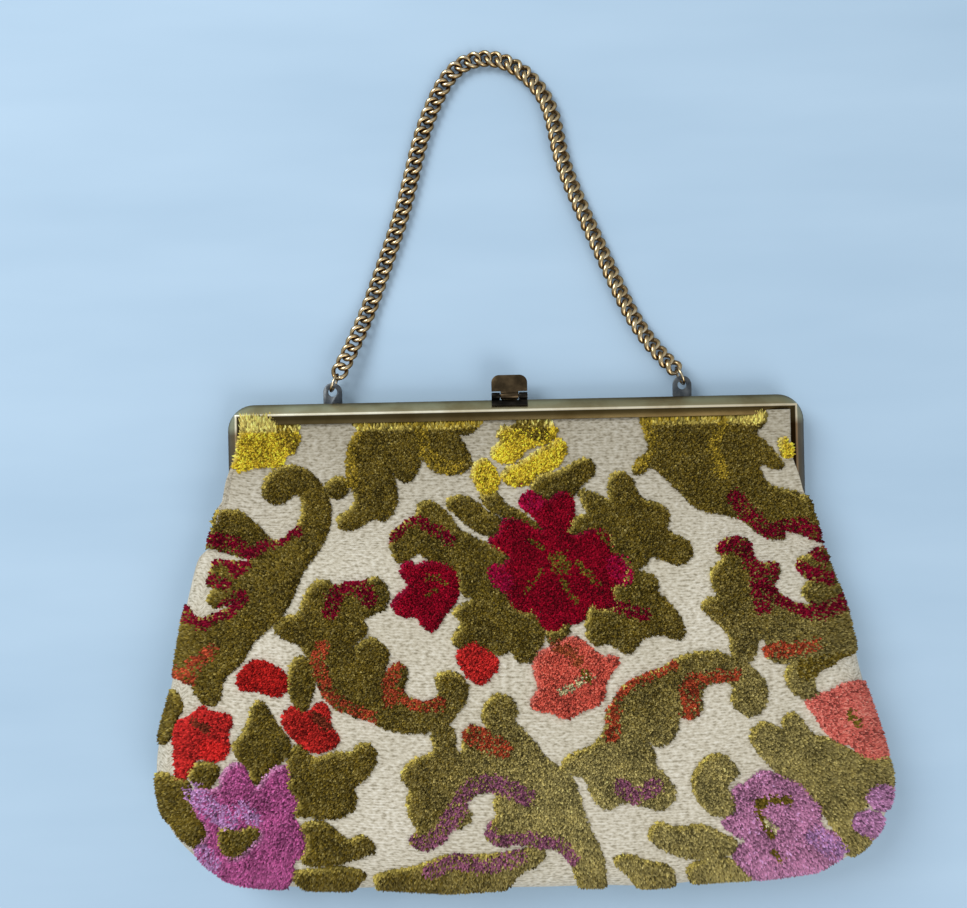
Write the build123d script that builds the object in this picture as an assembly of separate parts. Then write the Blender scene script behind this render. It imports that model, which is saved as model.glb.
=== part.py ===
from build123d import *
import math
import os

os.makedirs("parts", exist_ok=True)

# Whole bag, in mm: x across, y towards the handle, z up out of the front, lying on its back
BAG_WIDTH = 280.0
BAG_HEIGHT = 185.0
FRONT_SWELL = 34.7
BACK_DIP = 1.1
SEAM_HEIGHT = 12.0
SEAM_GAP = 0.4

# Cloth, lining and pile thicknesses
CLOTH_THICKNESS = 1.4
LINING_THICKNESS = 0.5
LINING_GAP = 0.4
PILE_HEIGHT = 1.7
PILE_GAP = 0.05

# Metal frame: two folded channels that meet on one plane
FRAME_WIDTH = 219.0
FRAME_ARM = 40.0
FRAME_CORNER = 10.0
FRAME_SHEET = 0.8
MEETING_HEIGHT = 7.4
MEETING_GAP = 0.3
FLANGE_WIDTH = 9.0
WALL_HEIGHT = 1.5
CREST_INSET = 5.3
CREST_HEIGHT = 7.2
LIP_INSET = 7.9
LIP_HEIGHT = 6.1
CLOTH_TUCK = 6.0
CLOTH_SEAT = 3.6
PILE_MARGIN = 0.4
PILE_SIDE_MARGIN = 2.1

# Hinge ears and rivets at the lower ends of the arms
EAR_RADIUS = 3.0
EAR_SHEET = 1.0
EAR_INSET = 1.0
EAR_GAP = 0.2
EAR_DEPTH = 2.4
EAR_OVERLAP = 10.0
ARM_SETBACK = 4.2
RIVET_RADIUS = 0.95
RIVET_CLEARANCE = 0.05
RIVET_HEAD_RADIUS = 2.0
RIVET_HEAD = 0.7
RIVET_HEAD_GAP = 0.05

# Clasp on the front channel
CLASP_X = -2.2
CLASP_WIDTH = 13.6
CLASP_PLATE_LENGTH = 6.6
CLASP_PLATE_SHEET = 0.8
KNUCKLE_RADIUS = 1.3
KNUCKLE_OUT = 1.5
KNUCKLE_UP = 2.3
KNUCKLE_LENGTH = 3.2
KNUCKLE_GAP = 0.2
CLASP_PIN_RADIUS = 0.6
CLASP_PIN_CLEARANCE = 0.05
TAB_SHEET = 1.0
TAB_START = 1.7
TAB_END = 7.9
TAB_CORNER = 3.0
CLAW_SHEET = 0.9
CLAW_DROP = 3.9
KEEPER_WIDTH = 6.0
KEEPER_DEPTH = 0.6
KEEPER_HEIGHT = 1.1

# Chain lugs on the rear channel
LUG_LEFT_X = -69.8
LUG_RIGHT_X = 64.1
LUG_WIDTH = 7.1
LUG_SHEET = 1.2
LUG_EYE_HEIGHT = 4.5
LUG_EYE_RADIUS = 1.75
LUG_TAIL = 5.0
LUG_SLOT_GAP = 0.1

# Chain handle
HANDLE_REACH = 124.6
RING_RADIUS = 3.4
RING_WIRE = 1.0
RING_SETBACK = 0.65
RING_RISE = 0.4
LINK_WIRE = 1.5
LINK_REACH = 3.0
LINK_SPREAD = 2.6
LINK_PITCH = 4.0
LINK_SLACK = 0.3
FLOOR_GAP = 0.05

# Counts, angles in degrees and shape numbers
ROWS = 32
COLUMNS = 28
ROW_CROWDING = 1.25
SIDE_FULLNESS = 0.2
BOTTOM_FULLNESS = 0.45
FRONT_RISE = (1.35, 3.2)
BACK_RISE = (1.2, 6.0)
RING_LEAN = 23.0
LINK_TWIST = 48.0
LINK_STATIONS = 12
WIRE_SIDES = 5
RIGHT_ROLL = -45.0
ROLL_START_SHARE = 0.42
ROLL_SPAN_SHARE = 0.2
LIFT_SPAN_SHARE = 0.12
PILE_EDGE_SHARE = 0.95
CORNER_CUT_SHARES = (0.25, 0.75)
FIT_SHARE = 0.02
SLOPE_STEP = 0.004

# Outline of the cloth: height as a share of the bag's height, reach as a share of half its width
LEFT_EDGE_SHARES = [
    (0.330, 0.800), (0.243, 0.836), (0.176, 0.869), (0.085, 0.899), (-0.077, 0.960),
    (-0.158, 0.986), (-0.240, 0.996), (-0.322, 0.980), (-0.388, 0.934), (-0.457, 0.843),
]
RIGHT_EDGE_SHARES = [
    (0.330, 0.768), (0.243, 0.800), (0.200, 0.819), (0.128, 0.847), (0.057, 0.878),
    (-0.086, 0.933), (-0.159, 0.963), (-0.230, 0.988), (-0.281, 1.000), (-0.324, 0.994),
    (-0.393, 0.956), (-0.457, 0.846),
]
CORNER_SHARE = -0.457
BOTTOM_SAG_SHARE = 0.039
FLARE_START_SHARE = 0.275
FLARE_END_SHARE = 0.185

# Handle's line: share of the way from the left lug to the right, share of the handle's reach
HANDLE_SHARES = [
    (0.080, 0.167), (0.156, 0.376), (0.217, 0.566), (0.264, 0.750), (0.316, 0.888),
    (0.384, 0.980), (0.470, 1.000), (0.556, 0.961), (0.635, 0.851), (0.666, 0.710),
    (0.721, 0.539), (0.803, 0.336), (0.886, 0.152),
]

# How the picture of the bag was taken: pixels, and heights as shares of the bag's width
PICTURE_CENTRE = (483.5, 454.0)
PICTURE_FOCUS = 930.0
PICTURE_TURN = 1.2
VIEW_HEIGHT_SHARE = 1.2946
VIEW_ACROSS_SHARE = -0.0446
VIEW_ALONG_SHARE = 0.2575
PICTURE_TALL_SHARE = 0.6607

# Lengths that follow from the sizes above
TOP_Y = BAG_HEIGHT / 2
HALF_FRAME = FRAME_WIDTH / 2
HINGE_Y = TOP_Y - FRAME_ARM
CLOTH_TOP_Y = TOP_Y - CLOTH_TUCK
CORNER_Y = CORNER_SHARE * BAG_HEIGHT
LUG_Z = MEETING_HEIGHT - MEETING_GAP / 2 - FRAME_SHEET - LUG_SHEET / 2
RING_Y = TOP_Y + LUG_EYE_HEIGHT + RING_RISE + RING_RADIUS * math.cos(math.radians(RING_LEAN))
VIEW_HEIGHT = VIEW_HEIGHT_SHARE * BAG_WIDTH
TALL_STRETCH = BAG_HEIGHT / (BAG_WIDTH * PICTURE_TALL_SHARE)
LINING_TOP = CLOTH_THICKNESS + LINING_GAP
LINING_BOTTOM = LINING_TOP + LINING_THICKNESS
KNUCKLE_Y = TOP_Y + KNUCKLE_OUT
KNUCKLE_Z = MEETING_HEIGHT + KNUCKLE_UP
BEVEL_ANGLE = math.atan2(CREST_HEIGHT - WALL_HEIGHT, CREST_INSET)
LEVER_KNUCKLE = CLASP_WIDTH - 2 * KNUCKLE_LENGTH - 2 * KNUCKLE_GAP
RING_SIDEWAYS = math.sin(math.radians(RING_LEAN))
RING_FORWARD = math.cos(math.radians(RING_LEAN))
RING_ENDS = (
    (LUG_LEFT_X, Vector(RING_SIDEWAYS, RING_FORWARD)),
    (LUG_RIGHT_X, Vector(-RING_SIDEWAYS, RING_FORWARD)),
)

# Pattern outlines, in pixels of the picture
OLIVE_OUTLINES = [
    # Upper left scroll with its three lobes
    [(264, 496), (270, 502), (279, 504), (287, 500), (294, 493), (301, 496), (303, 507), (300, 520),
     (295, 531), (289, 533), (284, 540), (270, 541), (262, 530), (257, 521), (249, 515), (239, 511),
     (228, 509), (214, 507), (198, 516), (190, 530), (186, 547), (213, 545), (222, 540), (231, 542),
     (238, 548), (247, 556), (238, 564), (230, 558), (220, 556), (213, 562), (211, 573), (206, 582),
     (212, 586), (219, 586), (210, 594), (207, 600), (212, 606), (222, 606), (237, 599), (230, 607),
     (214, 615), (200, 619), (191, 615), (186, 604), (170, 602), (160, 630), (154, 664), (174, 676),
     (181, 683), (190, 684), (195, 694), (203, 704), (214, 706), (220, 698), (222, 679), (231, 670),
     (242, 663), (249, 648), (256, 638), (270, 627), (285, 611), (294, 592), (299, 578), (304, 568),
     (318, 550), (326, 537), (330, 522), (331, 505), (325, 490), (317, 479), (309, 471), (298, 466),
     (287, 465), (276, 469), (268, 477), (263, 486)],
    # Round knob beside the scroll
    [(323, 487), (333, 478), (343, 477), (350, 483), (348, 491), (340, 498), (331, 498)],
    # Scroll under the top bar
    [(344, 414), (352, 424), (359, 429), (352, 437), (348, 448), (346, 465), (347, 480), (354, 492),
     (355, 504), (346, 512), (337, 518), (338, 526), (347, 530), (358, 527), (371, 517), (384, 521),
     (393, 513), (397, 500), (397, 484), (391, 470), (397, 478), (406, 482), (414, 477), (420, 464),
     (421, 456), (430, 467), (440, 473), (453, 474), (467, 470), (472, 462), (466, 447), (456, 434),
     (467, 434), (476, 429), (484, 420), (486, 412)],
    # Pointed leaf left of the big flower
    [(446, 506), (449, 498), (458, 495), (469, 498), (479, 505), (487, 512), (500, 517), (501, 526),
     (497, 534), (487, 535), (474, 529), (461, 519), (452, 510)],
    # Stalk from the yellow bud
    [(479, 494), (490, 492), (499, 494), (503, 503), (517, 510), (530, 519), (546, 532), (538, 535),
     (525, 524), (508, 518), (492, 511), (483, 503)],
    # Leaves between the two crimson flowers
    [(417, 506), (424, 500), (433, 502), (442, 508), (451, 518), (459, 529), (468, 535), (480, 541),
     (492, 546), (512, 556), (530, 575), (532, 608), (540, 621), (545, 632), (543, 643), (537, 651),
     (532, 661), (522, 663), (514, 657), (511, 649), (500, 654), (491, 652), (484, 646), (470, 650),
     (456, 647), (452, 639), (456, 630), (463, 624), (457, 618), (452, 611), (460, 605), (476, 599),
     (462, 594), (459, 580), (455, 566), (433, 563), (425, 556), (418, 551), (410, 557), (403, 561),
     (396, 559), (391, 551), (390, 541), (390, 534), (398, 528), (406, 520), (413, 518), (417, 514)],
    # Leaf above the big flower
    [(530, 488), (536, 477), (547, 473), (558, 472), (567, 467), (576, 461), (586, 458), (594, 463),
     (595, 472), (587, 480), (579, 485), (575, 494), (560, 500), (544, 499), (536, 495)],
    # Leaves right of the big flower
    [(577, 489), (588, 491), (600, 495), (610, 502), (608, 490), (609, 479), (614, 472), (622, 471),
     (630, 477), (635, 487), (640, 499), (655, 502), (666, 508), (670, 517), (664, 529), (673, 534),
     (685, 540), (693, 549), (690, 559), (680, 564), (668, 561), (651, 553), (647, 562), (637, 568),
     (630, 570), (643, 571), (655, 577), (659, 584), (656, 590), (665, 600), (674, 609), (682, 621),
     (685, 632), (680, 639), (671, 637), (663, 633), (650, 635), (640, 639), (635, 649), (627, 653),
     (617, 648), (608, 641), (599, 646), (590, 642), (586, 631), (586, 615), (596, 596), (590, 560),
     (572, 535), (565, 527), (573, 517), (590, 514), (583, 506)],
    # Short stalk under the big flower
    [(546, 622), (566, 618), (571, 627), (566, 638), (556, 646), (547, 640)],
    # Scroll at the upper right
    [(640, 405), (662, 403), (700, 402), (740, 402), (760, 406), (766, 418), (761, 427), (753, 432),
     (762, 440), (771, 450), (779, 464), (776, 470), (768, 467), (760, 461), (759, 471), (765, 482),
     (776, 489), (790, 495), (806, 496), (832, 500), (846, 530), (848, 556), (822, 543), (806, 534),
     (797, 532), (783, 537), (768, 537), (755, 529), (744, 519), (728, 514), (708, 511), (693, 505),
     (683, 494), (669, 480), (657, 469), (649, 465), (643, 472), (635, 475), (632, 469), (636, 460),
     (650, 452), (648, 441), (641, 425)],
    # Leaf with the long red edge at the right
    [(715, 549), (722, 541), (731, 536), (742, 538), (750, 542), (751, 552), (757, 563), (766, 564),
     (773, 561), (780, 568), (778, 577), (771, 583), (778, 593), (788, 600), (800, 605), (815, 604),
     (843, 600), (868, 604), (874, 633), (862, 650), (844, 656), (833, 665), (820, 669), (813, 677),
     (815, 688), (819, 695), (808, 699), (797, 695), (789, 687), (785, 677), (787, 668), (793, 661),
     (780, 662), (769, 659), (763, 651), (769, 639), (758, 638), (757, 652), (750, 662), (739, 662),
     (731, 654), (731, 636), (722, 625), (709, 615), (700, 605), (707, 598), (719, 596), (713, 586),
     (710, 576), (713, 566), (725, 558)],
    # Two lobes on the right edge
    [(796, 566), (799, 557), (807, 556), (813, 549), (824, 546), (850, 552), (858, 574), (832, 581),
     (822, 583), (808, 577)],
    [(801, 591), (806, 583), (814, 580), (826, 585), (862, 582), (866, 596), (838, 600), (816, 605),
     (808, 599)],
    # Left middle scroll
    [(306, 592), (313, 584), (321, 579), (330, 582), (335, 587), (347, 581), (360, 583), (369, 578),
     (377, 577), (384, 583), (389, 595), (386, 607), (374, 613), (361, 619), (367, 626), (365, 636),
     (354, 642), (351, 652), (360, 642), (370, 637), (380, 641), (389, 653), (386, 665), (383, 675),
     (390, 668), (398, 662), (406, 667), (407, 678), (402, 688), (407, 697), (420, 702), (437, 699),
     (439, 690), (434, 680), (440, 672), (452, 671), (463, 676), (469, 688), (465, 703), (457, 714),
     (447, 725), (430, 732), (408, 733), (388, 730), (372, 721), (352, 715), (335, 708), (324, 697),
     (317, 684), (313, 668), (307, 655), (299, 643), (288, 640), (279, 635), (274, 627), (281, 618),
     (290, 615), (298, 617), (301, 604)],
    # Narrow leaf beside the coral half round
    [(289, 666), (297, 657), (304, 656), (311, 664), (316, 678), (313, 692), (308, 708), (301, 714),
     (294, 704), (288, 688)],
    # Great scroll at the bottom middle
    [(430, 736), (436, 728), (446, 724), (454, 729), (456, 740), (454, 748), (463, 757), (462, 742),
     (464, 731), (473, 724), (490, 732), (482, 720), (482, 710), (487, 701), (496, 694), (506, 695),
     (515, 702), (518, 711), (513, 720), (523, 731), (534, 741), (546, 758), (558, 766), (568, 770),
     (576, 785), (582, 806), (588, 825), (596, 842), (603, 862), (606, 886), (590, 892), (577, 888),
     (572, 874), (566, 860), (554, 850), (535, 849), (516, 845), (502, 849), (491, 844), (485, 834),
     (488, 824), (499, 817), (492, 803), (499, 794), (488, 790), (474, 795), (465, 804), (472, 817),
     (467, 826), (450, 830), (446, 842), (434, 850), (422, 853), (411, 847), (409, 840), (420, 831),
     (412, 822), (407, 806), (408, 793), (412, 788), (403, 782), (401, 773), (408, 764), (420, 757),
     (436, 752)],
    # Leaf along the bottom edge
    [(372, 888), (388, 880), (412, 875), (430, 867), (450, 858), (474, 861), (500, 858), (525, 852),
     (541, 850), (546, 858), (539, 870), (522, 879), (512, 890), (470, 895), (420, 895), (385, 894)],
    # Scroll right of the middle
    [(560, 766), (566, 756), (577, 751), (590, 748), (599, 739), (606, 728), (605, 714), (612, 703),
     (619, 689), (631, 679), (648, 672), (664, 667), (676, 658), (692, 653), (711, 650), (730, 656),
     (748, 664), (761, 675), (768, 690), (766, 704), (758, 713), (747, 716), (736, 709), (730, 697),
     (735, 688), (729, 681), (714, 681), (703, 687), (700, 697), (703, 708), (696, 718), (687, 719),
     (680, 713), (678, 729), (670, 742), (658, 747), (647, 739), (655, 753), (655, 767), (667, 777),
     (676, 790), (672, 805), (660, 811), (648, 807), (634, 804), (620, 801), (610, 809), (600, 807),
     (591, 793), (585, 778), (572, 773)],
    # Round leaf left of the right lilac flower
    [(691, 778), (697, 766), (706, 756), (716, 752), (726, 757), (737, 767), (738, 776), (727, 783),
     (727, 790), (734, 798), (735, 808), (727, 816), (715, 816), (703, 807), (694, 794)],
    # Great leaf at the lower right
    [(749, 736), (755, 725), (764, 721), (774, 725), (785, 731), (781, 722), (786, 714), (795, 713),
     (802, 721), (812, 736), (828, 738), (842, 745), (858, 754), (872, 758), (892, 755), (901, 770),
     (900, 784), (884, 784), (868, 793), (872, 806), (852, 812), (849, 826), (862, 840), (875, 836),
     (868, 852), (850, 860), (840, 850), (836, 832), (824, 815), (815, 800), (803, 789), (783, 777),
     (766, 761), (755, 748)],
    # Leaf under the round leaf
    [(647, 837), (652, 827), (661, 822), (672, 828), (684, 829), (696, 824), (708, 827), (722, 836),
     (737, 842), (735, 855), (722, 863), (704, 865), (686, 864), (670, 857), (655, 847)],
    # Short leaves on the bottom edge
    [(612, 866), (622, 859), (635, 861), (648, 868), (664, 871), (675, 880), (668, 889), (640, 889),
     (624, 880)],
    [(685, 879), (696, 870), (712, 864), (730, 866), (748, 873), (748, 884), (720, 888), (692, 887)],
    # Leaf above the left lilac flower
    [(252, 705), (260, 699), (268, 709), (275, 723), (287, 737), (291, 748), (285, 759), (270, 767),
     (263, 780), (254, 786), (249, 768), (233, 752), (234, 742), (245, 732), (249, 717)],
    # Leaf right of the left lilac flower
    [(287, 762), (291, 748), (301, 743), (310, 757), (320, 758), (333, 752), (351, 753), (359, 744),
     (367, 742), (376, 750), (376, 764), (366, 778), (352, 787), (357, 798), (354, 810), (340, 817),
     (325, 820), (308, 815), (296, 817), (290, 800), (286, 780)],
    # Leaf below it
    [(301, 826), (312, 820), (326, 823), (338, 833), (348, 843), (360, 835), (371, 842), (376, 854),
     (364, 861), (350, 866), (335, 871), (312, 871), (300, 866), (306, 850), (304, 836)],
    # Short leaf on the bottom edge at the left
    [(290, 880), (310, 877), (340, 874), (357, 878), (368, 886), (350, 893), (300, 892)],
    # Leaves on the left edge
    [(158, 690), (167, 689), (174, 697), (178, 709), (172, 716), (170, 728), (160, 744), (148, 738),
     (150, 715)],
    [(146, 776), (160, 771), (172, 778), (188, 780), (191, 797), (195, 815), (206, 827), (204, 844),
     (196, 849), (184, 846), (168, 826), (154, 806)],
    # Leaf between the coral and lilac flowers at the left
    [(189, 766), (200, 761), (213, 762), (220, 771), (212, 787), (198, 786), (189, 780)],
]
LILAC_HEART = [
    (217, 829), (228, 826), (238, 832), (250, 825), (260, 827), (260, 838), (250, 848), (244, 858),
    (232, 863), (222, 859), (218, 845),
]
CRIMSON_OUTLINES = [
    # Big flower
    [(519, 504), (522, 495), (531, 490), (540, 496), (547, 501), (554, 493), (564, 489), (572, 495),
     (575, 510), (572, 522), (567, 531), (576, 535), (586, 529), (600, 527), (611, 535), (613, 552),
     (621, 558), (628, 571), (621, 583), (611, 586), (615, 597), (614, 607), (600, 610), (589, 602),
     (586, 616), (578, 624), (565, 622), (558, 631), (546, 630), (538, 621), (534, 610), (522, 613),
     (510, 603), (505, 590), (494, 582), (494, 572), (504, 562), (512, 556), (498, 549), (488, 541),
     (493, 535), (500, 532), (500, 522), (511, 516), (525, 521), (545, 534), (535, 517)],
    # Small flower
    [(400, 573), (402, 563), (409, 561), (416, 566), (430, 559), (444, 562), (457, 572), (460, 588),
     (455, 603), (444, 615), (435, 631), (425, 629), (417, 615), (402, 617), (391, 606), (394, 598),
     (408, 588), (408, 582)],
]
CORAL_OUTLINES = [
    # Flower under the big crimson one
    [(532, 662), (538, 652), (549, 648), (559, 640), (571, 636), (582, 639), (592, 650), (602, 657),
     (614, 655), (620, 661), (611, 673), (604, 682), (606, 694), (598, 705), (580, 712), (565, 719),
     (552, 711), (534, 710), (529, 701), (540, 689), (536, 676)],
    # Bud
    [(456, 656), (462, 646), (473, 641), (484, 646), (494, 654), (500, 663), (493, 675), (480, 686),
     (470, 678), (460, 666)],
    # Half round
    [(236, 681), (241, 671), (250, 662), (261, 659), (274, 665), (286, 674), (290, 686), (278, 698),
     (264, 692), (252, 689), (240, 690)],
    # Flower on the left edge
    [(172, 723), (184, 718), (193, 712), (202, 705), (210, 712), (227, 713), (234, 722), (226, 734),
     (231, 747), (222, 761), (208, 761), (196, 756), (190, 768), (183, 780), (173, 777), (174, 760),
     (169, 740)],
    # Flower beside the narrow leaf
    [(281, 720), (286, 709), (295, 706), (306, 715), (319, 701), (330, 708), (329, 725), (341, 737),
     (334, 748), (315, 754), (300, 744), (288, 734)],
    # Flower on the right edge
    [(804, 702), (816, 695), (834, 690), (846, 683), (866, 681), (876, 684), (882, 698), (888, 716),
     (893, 734), (898, 752), (880, 758), (864, 756), (856, 745), (840, 742), (824, 729), (815, 713)],
]
YELLOW_OUTLINES = [
    # Flower in the upper left corner
    [(238, 412), (262, 410), (290, 412), (302, 419), (297, 429), (301, 441), (294, 452), (285, 456),
     (283, 465), (270, 468), (260, 466), (250, 475), (239, 471), (234, 458), (230, 448), (236, 437),
     (232, 424)],
    # Flower at the top middle, in two parts
    [(490, 453), (496, 444), (503, 441), (496, 434), (500, 427), (515, 427), (520, 419), (529, 415),
     (540, 423), (553, 423), (559, 432), (548, 443), (534, 445), (525, 449), (519, 458), (508, 463),
     (496, 460)],
    [(502, 479), (501, 472), (516, 464), (527, 458), (533, 452), (550, 445), (558, 436), (566, 444),
     (566, 455), (556, 468), (538, 472), (531, 482), (520, 486), (508, 484)],
    # Bud
    [(470, 472), (475, 462), (483, 458), (492, 464), (500, 478), (497, 489), (488, 496), (477, 489)],
]
LILAC_OUTLINES = [
    # Flower at the lower left
    [(219, 790), (221, 775), (228, 766), (238, 761), (247, 769), (252, 787), (258, 788), (264, 775),
     (276, 765), (288, 766), (290, 778), (286, 788), (297, 798), (299, 805), (291, 815), (299, 826),
     (307, 842), (304, 857), (292, 868), (295, 888), (270, 893), (240, 891), (218, 882), (200, 868),
     (190, 854), (203, 843), (206, 829), (194, 812), (190, 798), (195, 787), (206, 789)],
    # Flower at the lower right
    [(720, 823), (727, 816), (736, 814), (737, 805), (731, 794), (735, 786), (748, 783), (756, 773),
     (768, 770), (782, 777), (798, 781), (810, 796), (823, 809), (818, 824), (828, 833), (838, 836),
     (843, 850), (842, 866), (800, 878), (765, 886), (748, 884), (732, 865), (736, 853), (751, 843),
     (734, 836)],
    # Two petals on the right edge
    [(852, 828), (858, 815), (868, 811), (880, 813), (890, 820), (880, 838), (866, 840)],
    [(868, 796), (876, 785), (890, 782), (902, 786), (896, 802), (884, 812), (873, 804)],
]


def smooth_step(share):
    held = min(1.0, max(0.0, share))
    return held * held * (3 - 2 * held)


def curve_value(table, place):
    """Reads a smooth curve through the table's rows, which run downwards."""
    last = len(table) - 1
    index = 0
    while index < last - 1 and place < table[index + 1][0]:
        index += 1
    span = table[index + 1][0] - table[index][0]
    step = min(1.0, max(0.0, (place - table[index][0]) / span))

    def slope(row):
        before, after = table[max(row - 1, 0)], table[min(row + 1, last)]
        return (after[1] - before[1]) / (after[0] - before[0]) * span

    start, end = table[index][1], table[index + 1][1]
    square, cube = step**2, step**3
    return (
        start * (2 * cube - 3 * square + 1)
        + slope(index) * (cube - 2 * square + step)
        + end * (3 * square - 2 * cube)
        + slope(index + 1) * (cube - square)
    )


def edge_x(table, y):
    """How far the cloth reaches to one side: inside the arms above, to the outline below."""
    share = y / BAG_HEIGHT
    outline = curve_value(table, share) * BAG_WIDTH / 2
    flare = smooth_step((FLARE_START_SHARE - share) / (FLARE_START_SHARE - FLARE_END_SHARE))
    tucked = HALF_FRAME - CLOTH_TUCK
    return tucked + (outline - tucked) * flare


def full_sine(angle, fullness):
    return math.sin(angle) * (1 + fullness * math.cos(angle) ** 2)


def full_cosine(angle, fullness):
    return math.cos(angle) * (1 + fullness * math.sin(angle) ** 2)


def row_down(along):
    """How far down the cloth a row lies, as a share, and the angle that gives it."""
    drop = along**ROW_CROWDING * math.pi / 2
    return full_sine(drop, BOTTOM_FULLNESS), drop


def row_edge(side, along):
    """Where a row meets the cloth's edge: its y and z, and how free of the frame it is."""
    y = CLOTH_TOP_Y + (CORNER_Y - CLOTH_TOP_Y) * row_down(along)[0]
    free = (FLARE_START_SHARE - y / BAG_HEIGHT) / (FLARE_START_SHARE - FLARE_END_SHARE)
    loose = smooth_step(free / 2)
    framed = MEETING_HEIGHT + side * CLOTH_SEAT
    return y, framed + (SEAM_HEIGHT + side * SEAM_GAP / 2 - framed) * loose, loose


def cloth_point(side, across, along):
    """A point of the cloth's outside; side is 1 for the front and -1 for the back."""
    turn = across * math.pi / 2
    down, drop = row_down(along)
    edge_y, edge_z, loose = row_edge(side, along)
    left, right = -edge_x(LEFT_EDGE_SHARES, edge_y), edge_x(RIGHT_EDGE_SHARES, edge_y)
    x = (left + right) / 2 + (right - left) / 2 * full_sine(turn, SIDE_FULLNESS)
    y = edge_y - BOTTOM_SAG_SHARE * BAG_HEIGHT * (1 - across**2) * down
    round_over = full_cosine(turn, SIDE_FULLNESS) ** (3 - 2 * loose)
    gentle, quick = FRONT_RISE if side > 0 else BACK_RISE
    rise = 1 - (1 - min(1.0, down**gentle)) ** quick
    lift = rise * full_cosine(drop, BOTTOM_FULLNESS) * round_over
    far_z = FRONT_SWELL if side > 0 else -BACK_DIP
    return Vector(x, y, edge_z + (far_z - edge_z) * lift)


def cloth_normal(side, across, along):
    step = SLOPE_STEP
    across = min(1 - step, max(step - 1, across))
    along = min(1 - step, max(step, along))
    over = cloth_point(side, across + step, along) - cloth_point(side, across - step, along)
    down = cloth_point(side, across, along + step) - cloth_point(side, across, along - step)
    return down.cross(over).normalized() * side


def sheet_point(side, across, along, depth):
    """A point of the cloth moved inwards by a depth, kept on its own side of the seam."""
    point = cloth_point(side, across, along) - cloth_normal(side, across, along) * depth
    _, edge_z, loose = row_edge(side, along)
    limit = edge_z - side * max(depth, 0) * (1 - loose)
    return Vector(point.X, point.Y, max(point.Z, limit) if side > 0 else min(point.Z, limit))


def cloth_face(side, depth):
    """The cloth's surface, moved inwards by a depth."""
    rows = []
    for row in range(ROWS + 1):
        columns = (2 * column / COLUMNS - 1 for column in range(COLUMNS + 1))
        rows.append([sheet_point(side, across, row / ROWS, depth) for across in columns])
    return Face.make_surface_from_array_of_points(rows, tol=CLOTH_THICKNESS * FIT_SHARE)


def cloth_sheet(side, outside, inside):
    """A sheet of cloth between two depths."""
    outer, inner = cloth_face(side, outside), cloth_face(side, inside)
    faces = [outer, inner]
    for edge in outer.edges():
        partner = min(inner.edges(), key=lambda other: (other @ 0.5 - edge @ 0.5).length)
        faces.append(Face.make_surface_from_curves(edge, partner))
    return Solid(Shell(faces))


def x_cylinder(radius, length, x, y, z):
    return Pos(x, y, z) * Rot(0, 90, 0) * Cylinder(radius, length)


def folded_section(points, thickness):
    """A folded sheet's section: a line of points and the same line moved to its left."""
    inner = []
    for index, point in enumerate(points):
        normals = []
        for first in (index - 1, index):
            if 0 <= first < len(points) - 1:
                run = Vector(*points[first + 1]) - Vector(*points[first])
                normals.append(Vector(-run.Y, run.X).normalized())
        mitre = (normals[0] + normals[-1]) * (thickness / (1 + normals[0].dot(normals[-1])))
        inner.append(Vector(*point) + mitre)
    return make_face(Polyline(*points, *reversed(inner), close=True))


def frame_channel():
    """The front channel: flat meeting flange, outer wall, roof-shaped face and open lip."""
    arm_end = HINGE_Y + ARM_SETBACK
    section = folded_section(
        [
            (-FLANGE_WIDTH, MEETING_GAP / 2),
            (0, MEETING_GAP / 2),
            (0, WALL_HEIGHT),
            (-CREST_INSET, CREST_HEIGHT),
            (-LIP_INSET, LIP_HEIGHT),
        ],
        FRAME_SHEET,
    )
    path = FilletPolyline(
        (-HALF_FRAME, arm_end, MEETING_HEIGHT),
        (-HALF_FRAME, TOP_Y, MEETING_HEIGHT),
        (HALF_FRAME, TOP_Y, MEETING_HEIGHT),
        (HALF_FRAME, arm_end, MEETING_HEIGHT),
        radius=FRAME_CORNER,
    )
    start = Plane((-HALF_FRAME, arm_end, MEETING_HEIGHT), x_dir=(-1, 0, 0), z_dir=(0, 1, 0))
    return sweep(start * section, path=path)


def with_ears(channel, inset, side):
    """Adds the two hinge ears and their rivet holes; side is 1 for the front."""
    strap_height = EAR_DEPTH - MEETING_GAP / 2
    strap_z = MEETING_HEIGHT + side * (EAR_DEPTH + MEETING_GAP / 2) / 2
    for hand in (-1, 1):
        x = hand * (HALF_FRAME - inset - EAR_SHEET / 2)
        channel += x_cylinder(EAR_RADIUS, EAR_SHEET, x, HINGE_Y, MEETING_HEIGHT)
        channel += Pos(x, HINGE_Y + EAR_OVERLAP / 2, strap_z) * Box(EAR_SHEET, EAR_OVERLAP, strap_height)
        hole = RIVET_RADIUS + RIVET_CLEARANCE
        channel -= x_cylinder(hole, 2 * EAR_SHEET, x, HINGE_Y, MEETING_HEIGHT)
    return channel


def front_frame():
    return with_ears(frame_channel(), EAR_INSET, 1)


def rear_frame():
    channel = mirror(frame_channel(), about=Plane.XY.offset(MEETING_HEIGHT))
    for x in (LUG_LEFT_X, LUG_RIGHT_X):
        slot = Box(LUG_WIDTH + 2 * LUG_SLOT_GAP, 2 * LUG_TAIL, LUG_SHEET + LUG_SLOT_GAP)
        channel -= Pos(x, TOP_Y, LUG_Z - LUG_SLOT_GAP / 2) * slot
    return with_ears(channel, EAR_INSET + EAR_SHEET + EAR_GAP, -1)


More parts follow.
